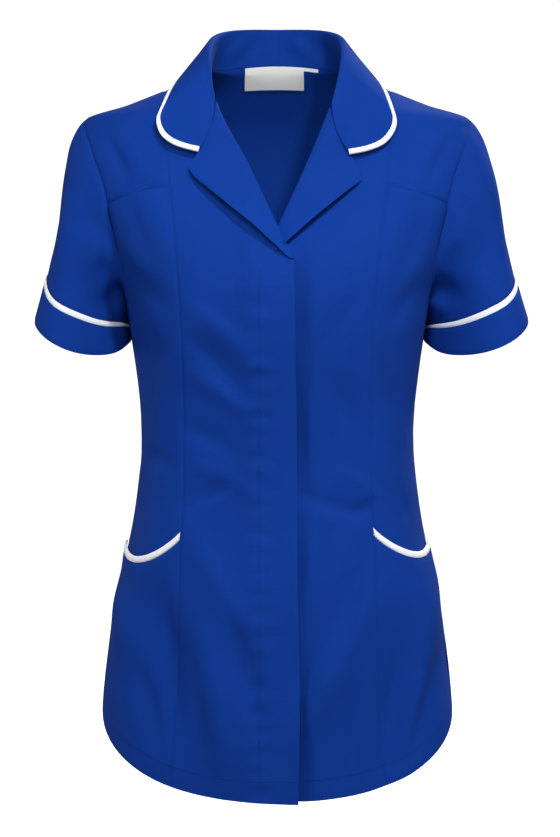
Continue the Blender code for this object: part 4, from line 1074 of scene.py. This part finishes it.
def collar_half(side):
    """Half of the collar, columns round the neck from the middle of the back and rows from the
    neck seam up the stand, over the roll in half an ellipse, and down the fall. Then its piping."""
    seam, roll, edge, run = collar_lines(side)
    roll = softened(roll, ROLL_SOFTENING)
    rise = unit(roll - seam)
    aside = edge - roll
    aside = unit(aside - rise * np.sum(aside * rise, axis=1)[:, None])
    quarter = np.arange(len(run)) / fine(COLLAR_BACK_CELLS)
    beside = np.where(run > 0.0, 1.0 - smoothstep(0.0, 0.5, run),
                      np.sin(0.5 * np.pi * quarter) ** 3)
    radius = (ROLL_RADIUS * (1.0 + ROLL_SIDE_GAIN * beside))[:, None]
    over = roll + aside * 2.0 * radius
    inward = unit(roll - edge)
    cut = edge + inward * sizes().piping
    foot = seam + rise * 2.0 * SEAM_GAP
    up = shares(STAND_CELLS)[:, None]
    push = crease_depth(SIDE_SIGN[side] * quarter, 0.3 * up, COLLAR_CREASES) * np.sin(np.pi * up)
    stand = foot + (roll - foot) * up[..., None] + aside * push[..., None]
    swing = np.linspace(0.0, np.pi, ROLL_CELLS + 1)[1:-1, None, None]
    arc = (roll + aside * radius * (1.0 - np.cos(swing))
           + rise * ROLL_FLATNESS * radius * np.sin(swing))
    steps = shares(FALL_CELLS)[:, None, None]
    fall = over + (cut - over) * steps
    share = np.clip(4.0 * run - 3.0, 0.0, 1.0)
    fall[..., 0] -= GORGE_BULGE * np.sin(np.pi * steps[..., 0]) * share
    behind = run <= 0.0
    fall = clear_of_body(fall, behind)
    belly = FALL_BELLY * np.sin(np.pi * steps[..., 0]) ** 1.2 * (1.0 - share)
    lift = np.sin(0.5 * np.pi * np.clip(3.0 * run, 0.0, 1.0))
    lift = COLLAR_STAND_OFF * steps[..., 0] ** 2 * lift
    fall[..., 1] += np.where(behind, belly, -belly - lift)
    start = fall[-1] - inward * 2.0 * SEAM_GAP
    edge = edge - np.array([0.0, 1.0, 0.0]) * lift[-1][:, None]
    piping = start + (edge - start) * shares(COLLAR_PIPING_CELLS)[:, None, None]
    return softened(np.concatenate([stand, arc, fall]), 2), piping


def whole_round(halves):
    """Right and left halves joined at the middle of the back, columns running to the right seen
    from outside, which is from the left front round behind to the right front."""
    left = halves[1][:, ::-1]
    return np.concatenate([left, (halves[0] * MIRROR)[:, 1:]], axis=1)


def trim_ends(points, length):
    """The first and last columns of a grid moved in along its rows."""
    points[:, [0, -1]] += unit(points[:, [1, -2]] - points[:, [0, -1]]) * length
    return points


def collar_set():
    """The stand and fall in one folded sheet, and the piping round the edge of the fall."""
    halves = [collar_half(side) for side in ("right", "left")]
    points = trim_ends(whole_round([half[0] for half in halves]), -GORGE_LAP)
    dip = edge_dip(points, (0, 0.7, 0.3, 0.3))
    fall = free_shell("cloth_collar", points, FOLDED_CLOTH, -dip)
    points = trim_ends(whole_round([half[1] for half in halves]), 3.0 * SEAM_GAP)
    crown = piping_crown(COLLAR_PIPING_CELLS, COLLAR_PIPING_CROWN) - COLLAR_PIPING_SUNK
    piping = free_shell("collar_piping_cloth", points, PIPING_WALL, crown)
    return fall, piping


def lapel(side):
    """The turned front, from the roll line to its outer edge, on the front panel beneath it. At the
    roll line it turns down over the panel's edge in a quarter of an ellipse."""
    column = SIDE_COLUMN[side]
    notch, outer, corner, tip = LAPEL_POINTS[side]
    down = shares(fine(LAPEL_ROWS))
    roll_z = GORGE_Z[side] + (LAPEL_END_Z - GORGE_Z[side]) * down
    roll_x = curve_through(NECKLINE, column, roll_z) - LAPEL_OVERHANG
    edge = corner + (tip - corner) * down[:, None]
    across = seam_crowded(fine(LAPEL_COLUMNS) + LAPEL_TURN_COLUMNS)
    x = between(roll_x, edge[:, 0], across)
    z = between(roll_z, edge[:, 1], across)
    gorge = np.array([roll_x[0], roll_z[0]])
    path = np.stack([gorge, notch, outer, corner])
    reach = distance_along(path)
    reach = reach / reach[-1]
    top_x = np.interp(across, reach, path[:, 0])
    top_z = np.interp(across, reach, path[:, 1])
    top_x = top_x - GORGE_BULGE * np.sin(np.pi * np.minimum(across / reach[1], 1.0))
    fade = (1.0 - down[:, None]) ** 2
    x = x + (top_x - x[0]) * fade
    z = z + (top_z - z[0]) * fade
    belly = LAPEL_BELLY * np.sqrt(np.sin(np.pi * across)) * (1.0 - down[:, None])
    standing = LAPEL_STAND_START + (1.0 - LAPEL_STAND_START) * down[:, None]
    stand_off = LAPEL_STAND_OFF * across ** 2 * np.sin(np.pi * standing) ** LAPEL_STAND_POWER
    raised = LAPEL_SEAT + FOLDED_CLOTH + belly + stand_off
    away = np.clip(np.abs(x - x[:, :1]) / LAPEL_TURN, 0.0, 1.0)
    raised = raised - (FOLDED_CLOTH + LAPEL_SEAT) * (1.0 - np.sqrt(1.0 - (1.0 - away) ** 2))
    return front_panel("cloth_lapel", side, angle_at(x, z), z, raised, FOLDED_CLOTH,
                       sides=(0.1, 0, 0, 0.5))


def zip_set():
    """The concealed zip's tape, flat between the two fronts, and its teeth as small blocks along
    the middle, each turned to the other side of the last."""
    z = np.concatenate([princess_levels()[fine(SHOULDER_ROWS + BREAK_ROWS) + 4:],
                        spaced(HIP_MOUTH_Z, HEM_LOW_Z + ZIP_ABOVE_HEM, fine(SKIRT_ROWS))[1:-1]])
    x = np.linspace(-ZIP_HALF_WIDTH, ZIP_HALF_WIDTH, ZIP_CELLS + 1)
    z = z[:, None] + 0.0 * x
    tape = body_panel("zip_tape_cloth", angle_at(x, z), z, ZIP_RAISE, thick=ZIP_WALL,
                      sides=(0, 0, 0, 0))
    rows = np.arange(ZIP_TEETH_TOP_Z, ZIP_TEETH_BOTTOM_Z, -ZIP_TEETH_PITCH)
    across = np.where(np.arange(len(rows)) % 2 == 0, -ZIP_TEETH_ASIDE, ZIP_TEETH_ASIDE)
    middle = body_at(across, rows, ZIP_RAISE + ZIP_TEETH_PROUD)
    corners = np.array([(i, j, k) for i in (-1, 1) for j in (-1, 1) for k in (-1, 1)], dtype=float)
    points = middle[:, None, :] + corners * np.array(ZIP_TOOTH_HALF)
    quads = np.array([(0, 1, 3, 2), (4, 6, 7, 5), (0, 4, 5, 1), (2, 3, 7, 6), (0, 2, 6, 4),
                      (1, 5, 7, 3)])
    faces = (np.arange(len(rows))[:, None, None] * 8 + quads).reshape(-1, 4)
    points = points.reshape(-1, 3)
    return tape, add_mesh("zip_teeth", points, faces, points[:, [0, 2]])


def labels():
    """A blank label and a small blank tab beside it, inside the back below the neck seam."""
    behind = -(sizes().cloth + 2.0 * SEAM_GAP)
    made = []
    for name, from_x, to_x, bottom in LABELS:
        x = spaced(from_x, to_x, LABEL_CELLS[0])
        z = spaced(LABEL_TOP_Z, bottom, LABEL_CELLS[1])[:, None] + 0.0 * x
        z = z - BACK_NECK_RISE * (1.0 - np.cos(angle_at(x, z)) ** 2)
        made.append(body_panel(name, angle_at(x, z), z, behind, back=True,
                               thick=LABEL_WALL, sides=(0, 0, 0, 0)))
    return made


def stitch_run(points, normals, pitch):
    """Stitches along a line of points: each a small ellipsoid, centre + d L/2 sin(b) +
    (s W cos(a) + n H sin(a)) cos(b), where d runs along the line, n is the normal and s their
    cross."""
    run = distance_along(points)
    places = np.arange(0.5 * pitch, run[-1] - 0.4 * pitch, pitch)
    length = min(STITCH_LENGTH, STITCH_SHARE * pitch)

    def at(where, values):
        return np.stack([np.interp(where, run, values[:, axis]) for axis in range(3)], axis=-1)

    centre = at(places, points)
    along = unit(at(places + 0.5 * length, points) - at(places - 0.5 * length, points))
    normal = at(places, normals)
    b = np.linspace(-0.5 * np.pi, 0.5 * np.pi, 5)[:, None, None]
    a = np.linspace(0.0, 2.0 * np.pi, 7)[None, :-1, None]
    centre, along, normal, aside = (
        values[:, None, None, :] for values in (centre, along, normal, np.cross(along, normal)))
    girth = aside * STITCH_WIDTH * np.cos(a) + normal * STITCH_HEIGHT * np.sin(a)
    shape = centre + along * 0.5 * length * np.sin(b) + girth * np.cos(b)
    rows, columns = shape.shape[1:3]
    first = np.arange(len(places))[:, None, None] * rows * columns
    return shape.reshape(-1, 3), (first + grid_faces(rows, columns, 0, True)).reshape(-1, 4)


def stitched(name, runs):
    """All the stitches of some lines as one mesh."""
    points, faces, first = [], [], 0
    for line, normals, pitch in runs:
        some, quads = stitch_run(line, normals, pitch)
        points.append(some)
        faces.append(quads + first)
        first += len(some)
    points = np.concatenate(points)
    return add_mesh(name, points, np.concatenate(faces), points[:, [0, 2]], 180.0)


def body_line(angle, z, raised, back, pitch):
    """A line of stitches on the body surface."""
    return body(angle, z, raised + 0.0 * z, back), outward(angle, z, back), pitch


def front_stitching():
    """Stitching of the fronts: the placket, the hem, the breast pocket mouths and a short bar tack
    by the left armhole."""
    pitch = sizes().stitch_pitch
    z = np.linspace(PLACKET_TOP_Z, PLACKET_BOTTOM_Z, 400)
    x = -PLACKET_WIDTH + 0.0 * z
    runs = [body_line(angle_at(x, z), z, lap_raise(x), False, pitch)]
    edge_x = curve_through(LAP, 1, HEM_LOW_Z + HEM_DEPTH) - LAP_STITCH_EDGE
    edge = angle_at(edge_x, HEM_LOW_Z + HEM_DEPTH)
    side_seam = 0.5 * np.pi - HEM_STITCH_ENDS
    for first, last in ((-side_seam, edge), (edge + LAP_STITCH_GAP, side_seam)):
        angle = np.linspace(first, last, 300)
        z = hem_height(angle) + HEM_DEPTH
        x = half_width(z) * np.sin(angle)
        raised = np.where(first < 0.0, lap_raise(x), -lap_dip(x, z))
        runs.append(body_line(angle, z, raised, False, pitch))
    across = np.linspace(*MOUTH_STITCH_SPAN, 80)
    for sign in (-1.0, 1.0):
        start = princess_angle(BREAST_MOUTH_Z)
        angle = start + (armhole_angle(breast_mouth_height(1.0)) - start) * across
        z = breast_mouth_height(across) - MOUTH_STITCH_DEPTH
        lift = MOUTH_STITCH_LIFT * breast_mouth_lift(across)
        runs.append(body_line(sign * angle, z, lift, False, pitch))
    x = np.linspace(TACK_FROM_X, TACK_TO_X, 12)
    z = TACK_Z + 0.0 * x
    runs.append(body_line(angle_at(x, z), z, 0.0, False, TACK_PITCH))
    return stitched("front_stitching", runs)


def back_stitching():
    """Stitching of the back: the hem and the two waist darts, drawn in towards the waist."""
    pitch = sizes().stitch_pitch
    angle = np.linspace(-0.5 * np.pi + HEM_STITCH_ENDS, 0.5 * np.pi - HEM_STITCH_ENDS, 500)
    runs = [body_line(angle, hem_height(angle, True) + HEM_DEPTH, 0.0, True, pitch)]
    z = np.linspace(DART_TOP_Z, DART_BOTTOM_Z, 200)
    for sign in (-1.0, 1.0):
        x = sign * (DART_X - DART_WAIST * np.sin(np.pi * np.linspace(0.0, 1.0, len(z))))
        runs.append(body_line(angle_at(x, z), z, 0.0, True, DART_STITCH_PITCH))
    return stitched("back_stitching", runs)


def set_inputs(tree, made, inputs):
    """Sets a node's inputs, by name or number: a socket is joined to it, a value is put into it."""
    for name, value in inputs.items():
        if isinstance(value, bpy.types.NodeSocket):
            tree.links.new(value, made.inputs[name])
        else:
            made.inputs[name].default_value = value


def node(tree, kind, output, inputs, **settings):
    """The named output of a new shader node with these settings and inputs."""
    made = tree.nodes.new(kind)
    for name, value in settings.items():
        setattr(made, name, value)
    set_inputs(tree, made, inputs)
    return made.outputs[output]


def spread(tree, value, low, high, start=0.0, end=1.0):
    """A value that runs from start to end, mapped to run from low to high."""
    return node(tree, "ShaderNodeMapRange", "Result",
                {"Value": value, "From Min": start, "From Max": end, "To Min": low, "To Max": high})


def new_material(name):
    """A material, its tree of nodes and the object coordinates in it."""
    made = bpy.data.materials.new(name)
    made.use_nodes = True
    return made, made.node_tree, node(made.node_tree, "ShaderNodeTexCoord", "Object", {})


def cloth_material(name, colour, roughness, thread, relief, sheen, twill):
    """Woven cloth: fine diagonal or straight threads from the flat map as relief, with uneven dye
    and wear from noise in object coordinates."""
    made, tree, solid = new_material(name)
    flat = node(tree, "ShaderNodeUVMap", "UV", {}, uv_map="cloth")
    wave = {"Vector": flat, "Scale": THREAD_WAVE / thread, "Distortion": 0.6, "Detail": 1.0,
            "Detail Scale": 2.0}
    bands = node(tree, "ShaderNodeTexWave", "Fac", wave,
                 bands_direction="DIAGONAL" if twill else "X")
    wave = {**wave, "Scale": THREAD_WAVE / (CROSS_THREAD * thread), "Distortion": 0.8}
    cross = node(tree, "ShaderNodeTexWave", "Fac", wave, bands_direction="Y")
    slub = node(tree, "ShaderNodeTexNoise", "Fac",
                {"Vector": solid, "Scale": 900.0, "Detail": 3.0, "Roughness": 0.6})
    dye = node(tree, "ShaderNodeTexNoise", "Fac",
               {"Vector": solid, "Scale": 9.0, "Detail": 4.0, "Roughness": 0.55})
    weave = node(tree, "ShaderNodeMath", "Value", {0: bands, 1: 0.62, 2: cross},
                 operation="MULTIPLY_ADD")
    fuzz = node(tree, "ShaderNodeMath", "Value", {0: slub, 1: weave}, operation="ADD")
    shade = node(tree, "ShaderNodeMath", "Value",
                 {0: spread(tree, dye, 0.93, 1.06, 0.3, 0.7), 1: spread(tree, weave, 0.94, 1.03)},
                 operation="MULTIPLY")
    set_inputs(tree, tree.nodes["Principled BSDF"], {
        "Base Color": node(tree, "ShaderNodeVectorMath", "Vector", {0: colour, "Scale": shade},
                           operation="SCALE"),
        "Roughness": spread(tree, slub, roughness - 0.06, roughness + 0.06),
        "Normal": node(tree, "ShaderNodeBump", "Normal",
                       {"Strength": relief, "Distance": BUMP_HEIGHT, "Height": fuzz}),
        "Specular IOR Level": 0.08, "Sheen Weight": sheen, "Sheen Roughness": 0.45,
    })
    return made


def plain_material(name, colour, glow):
    """The stage's matt finish, with a slight unevenness from noise and a glow of its own."""
    made, tree, solid = new_material(name)
    cloud = node(tree, "ShaderNodeTexNoise", "Fac", {"Vector": solid, "Scale": 2.0, "Detail": 2.0})
    set_inputs(tree, tree.nodes["Principled BSDF"], {
        "Base Color": (*colour, 1.0), "Roughness": spread(tree, cloud, 0.85, 0.95),
        "Emission Color": (1.0, 1.0, 1.0, 1.0), "Emission Strength": glow,
    })
    return made


def finish_for(kind):
    """The named finish, made the first time that it is asked for."""
    found = bpy.data.materials.get(kind)
    if found is None:
        colour, *rest = FINISHES[kind]
        found = cloth_material(kind, getattr(bpy.context.scene.tunic_colours, colour), *rest)
    return found


def dress(piece, slot_name, finish=None):
    """Gives a piece its finish, the named one or else the one that goes with a slot of the CAD part,
    and hangs it on the root body.
    """
    piece.data.materials.append(finish_for(finish or SLOT_FINISHES[slot_name]))
    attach(piece, "root")


def declare(piece, node_name, slot_name):
    """The same for a piece that stands for a CAD node."""
    dress(piece, slot_name)
    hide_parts(node_name)
    return piece


def declare_cut(piece, node_name, slot_name="royal_blue_cloth"):
    """The same for a piece cut from cloth."""
    declare(piece, node_name, slot_name)


def sizes():
    """The tunic's sizes, as set in the scene."""
    return bpy.context.scene.tunic_sizes


class TunicSizes(bpy.types.PropertyGroup):
    """Sizes of the cloth, the piping and the stitching."""

    detail: IntProperty(
        name="Detail", description="How many times finer the grids are than the CAD part's",
        default=6, min=1, max=8)
    cloth: FloatProperty(
        name="Cloth", description="Thickness of the cloth with its turnings",
        default=0.0015, min=0.0005, max=0.003, **LENGTH)
    piping: FloatProperty(
        name="Piping", description="Width of the piping on the collar and the cuffs",
        default=0.0055, min=0.003, max=0.01, **LENGTH)
    pocket_piping: FloatProperty(
        name="Pocket piping", description="Width of the piping on the hip pocket mouths",
        default=0.0078, min=0.003, max=0.012, **LENGTH)
    stitch_pitch: FloatProperty(
        name="Stitch pitch", description="Distance from one stitch to the next",
        default=0.0032, min=0.001, max=0.008, **LENGTH)


class TunicColours(bpy.types.PropertyGroup):
    """Colours of the cloth, the trims and the stage."""

    cloth: FloatVectorProperty(name="Cloth", description="Royal blue twill",
                               default=(0.0032, 0.036, 0.262), **COLOUR)
    thread: FloatVectorProperty(name="Thread", description="Sewing thread",
                                default=(0.0035, 0.025, 0.19), **COLOUR)
    piping: FloatVectorProperty(name="Piping", description="White piping",
                                default=(0.88, 0.91, 0.94), **COLOUR)
    zip_tape: FloatVectorProperty(name="Zip tape", description="Tape and teeth of the zip",
                                  default=(0.004, 0.02, 0.15), **COLOUR)
    label: FloatVectorProperty(name="Label", description="Blank labels",
                               default=(0.86, 0.86, 0.84), **COLOUR)
    floor: FloatVectorProperty(name="Floor", description="Floor and backdrop",
                               default=(0.93, 0.93, 0.93), **COLOUR)


class TunicOperator:
    """What the operators share: each builds its pieces, and stops with an error if it can't."""

    bl_options = {"REGISTER", "UNDO"}

    def execute(self, context):
        before = len(context.scene.objects)
        self.build()
        if len(context.scene.objects) == before:
            raise RuntimeError(f"{self.bl_label}: nothing was built")
        return {"FINISHED"}


class TUNIC_OT_fronts(TunicOperator, bpy.types.Operator):
    """Build both centre fronts, from the shoulder to the hem"""

    bl_idname = "tunic.fronts"
    bl_label = "Centre fronts"

    def build(self):
        for side in SIDES:
            declare_cut(centre_front(side), f"centre_front_{side}")


class TUNIC_OT_side_fronts(TunicOperator, bpy.types.Operator):
    """Build the upper side fronts and side fronts, with the breast pocket mouths between them"""

    bl_idname = "tunic.side_fronts"
    bl_label = "Side fronts"

    def build(self):
        for side in SIDES:
            declare_cut(upper_side_front(side), f"upper_side_front_{side}")
            declare_cut(side_front(side), f"side_front_{side}")


class TUNIC_OT_pockets(TunicOperator, bpy.types.Operator):
    """Build the hip pocket fronts and the piping along their mouths"""

    bl_idname = "tunic.pockets"
    bl_label = "Hip pockets"

    def build(self):
        for side in SIDES:
            piping = declare(pocket_piping(side), f"pocket_piping_{side}", "white_piping")
            declare_cut(pocket_front(side), f"pocket_front_{side}")


class TUNIC_OT_back(TunicOperator, bpy.types.Operator):
    """Build the back in one piece"""

    bl_idname = "tunic.back"
    bl_label = "Back"

    def build(self):
        declare_cut(back_panel(), "back")


class TUNIC_OT_sleeves(TunicOperator, bpy.types.Operator):
    """Build both sleeves with their piping and cuffs"""

    bl_idname = "tunic.sleeves"
    bl_label = "Sleeves"

    def build(self):
        for side in SIDES:
            sleeve, piping, cuff = sleeve_set(side)
            declare_cut(sleeve, f"sleeve_{side}")
            declare(piping, f"cuff_piping_{side}", "white_piping")
            declare_cut(cuff, f"cuff_{side}")


class TUNIC_OT_collar(TunicOperator, bpy.types.Operator):
    """Build the collar, its piping and the two lapels"""

    bl_idname = "tunic.collar"
    bl_label = "Collar and lapels"

    def build(self):
        fall, piping = collar_set()
        declare(piping, "collar_piping", "white_piping")
        declare_cut(fall, "collar")
        for side in SIDES:
            declare_cut(lapel(side), f"lapel_{side}")


class TUNIC_OT_closure(TunicOperator, bpy.types.Operator):
    """Build the concealed zip and the blank labels"""

    bl_idname = "tunic.closure"
    bl_label = "Zip and labels"

    def build(self):
        tape, teeth = zip_set()
        declare_cut(tape, "front_zip", "zip_tape")
        dress(teeth, "zip_tape")
        label, tab = labels()
        declare(tab, "size_tab", "blank_label")
        declare_cut(label, "neck_label", "blank_label")


class TUNIC_OT_stitching(TunicOperator, bpy.types.Operator):
    """Build the stitching of the front and the back"""

    bl_idname = "tunic.stitching"
    bl_label = "Stitching"

    def build(self):
        for made in (front_stitching(), back_stitching()):
            dress(made, "royal_blue_cloth", "blue_thread")


def area_light(name, place, target, wide, power):
    """A square soft light turned towards a point."""
    light = bpy.data.lights.new(name, "AREA")
    light.shape = "SQUARE"
    light.size = wide
    light.energy = power
    made = bpy.data.objects.new(name, light)
    bpy.context.scene.collection.objects.link(made)
    made.location = place
    way = Vector(target) - Vector(place)
    made.rotation_euler = way.to_track_quat("-Z", "Y").to_euler()


def stage_piece(name, radius, height, glow):
    """A surface of the stage, turned round the middle: points at each radius and height above the
    floor. Only the camera sees it."""
    turn = np.linspace(0.0, 2.0 * np.pi, STAGE_SIDES + 1)[None, :-1]
    radius, height = np.array(radius)[:, None], np.array(height)[:, None]
    points = np.stack(np.broadcast_arrays(
        radius * np.cos(turn), radius * np.sin(turn), FLOOR_Z + height), axis=-1)
    made = add_mesh(name, points.reshape(-1, 3), grid_faces(len(radius), STAGE_SIDES, 0, True))
    made.data.materials.append(
        plain_material(f"pale_{name}", bpy.context.scene.tunic_colours.floor, glow))
    made.visible_diffuse = made.visible_glossy = made.visible_shadow = False


class TUNIC_OT_stage(TunicOperator, bpy.types.Operator):
    """Build the floor and backdrop, the lights and the camera"""

    bl_idname = "tunic.stage"
    bl_label = "Stage"

    def build(self):
        scene = bpy.context.scene
        stage_piece("floor", (0.0001, 0.3, 1.0, 3.0, STAGE_RADIUS), (0.0,) * 5, FLOOR_GLOW)
        stage_piece("backdrop", (STAGE_RADIUS,) * 3, (0.0, 2.0, 9.0), BACKDROP_GLOW)
        scene.world = bpy.data.worlds.new("studio")
        scene.world.use_nodes = True
        set_inputs(scene.world.node_tree, scene.world.node_tree.nodes["Background"],
                   {"Color": WORLD_COLOUR, "Strength": WORLD_STRENGTH})
        for light in LIGHTS:
            area_light(*light)
        camera = bpy.data.objects.new("camera", bpy.data.cameras.new("camera"))
        scene.collection.objects.link(camera)
        camera.data.sensor_width = SENSOR_WIDTH
        camera.data.lens = SENSOR_WIDTH * CAMERA_DISTANCE / VIEW_HEIGHT
        camera.location = (CAMERA_X, -CAMERA_DISTANCE, CAMERA_Z)
        camera.rotation_euler = (0.5 * np.pi, 0.0, 0.0)
        scene.camera = camera
        scene.view_settings.view_transform = "Standard"


class TUNIC_PT_panel(bpy.types.Panel):
    """Lists the tunic's operators and sizes."""

    bl_label = "Work tunic"
    bl_idname = "TUNIC_PT_panel"
    bl_space_type = "VIEW_3D"
    bl_region_type = "UI"
    bl_category = "Tunic"

    def draw(self, context):
        column = self.layout.column()
        for name in BUILD_ORDER:
            column.operator(f"tunic.{name}")
        for group in (context.scene.tunic_sizes, context.scene.tunic_colours):
            for name in group.__annotations__:
                column.prop(group, name)


BUILD_ORDER = ("fronts", "side_fronts", "pockets", "back", "sleeves", "collar", "closure",
               "stitching", "stage")
CLASSES = (TunicSizes, TunicColours, TUNIC_OT_fronts, TUNIC_OT_side_fronts, TUNIC_OT_pockets,
           TUNIC_OT_back, TUNIC_OT_sleeves, TUNIC_OT_collar, TUNIC_OT_closure,
           TUNIC_OT_stitching, TUNIC_OT_stage, TUNIC_PT_panel)


def register():
    for made in CLASSES:
        bpy.utils.register_class(made)
    bpy.types.Scene.tunic_sizes = PointerProperty(type=TunicSizes)
    bpy.types.Scene.tunic_colours = PointerProperty(type=TunicColours)


def unregister():
    del bpy.types.Scene.tunic_colours
    del bpy.types.Scene.tunic_sizes
    for made in reversed(CLASSES):
        bpy.utils.unregister_class(made)


def main():
    register()
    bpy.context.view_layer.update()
    for name in BUILD_ORDER:
        getattr(bpy.ops.tunic, name)()


if __name__ == "__main__":
    main()
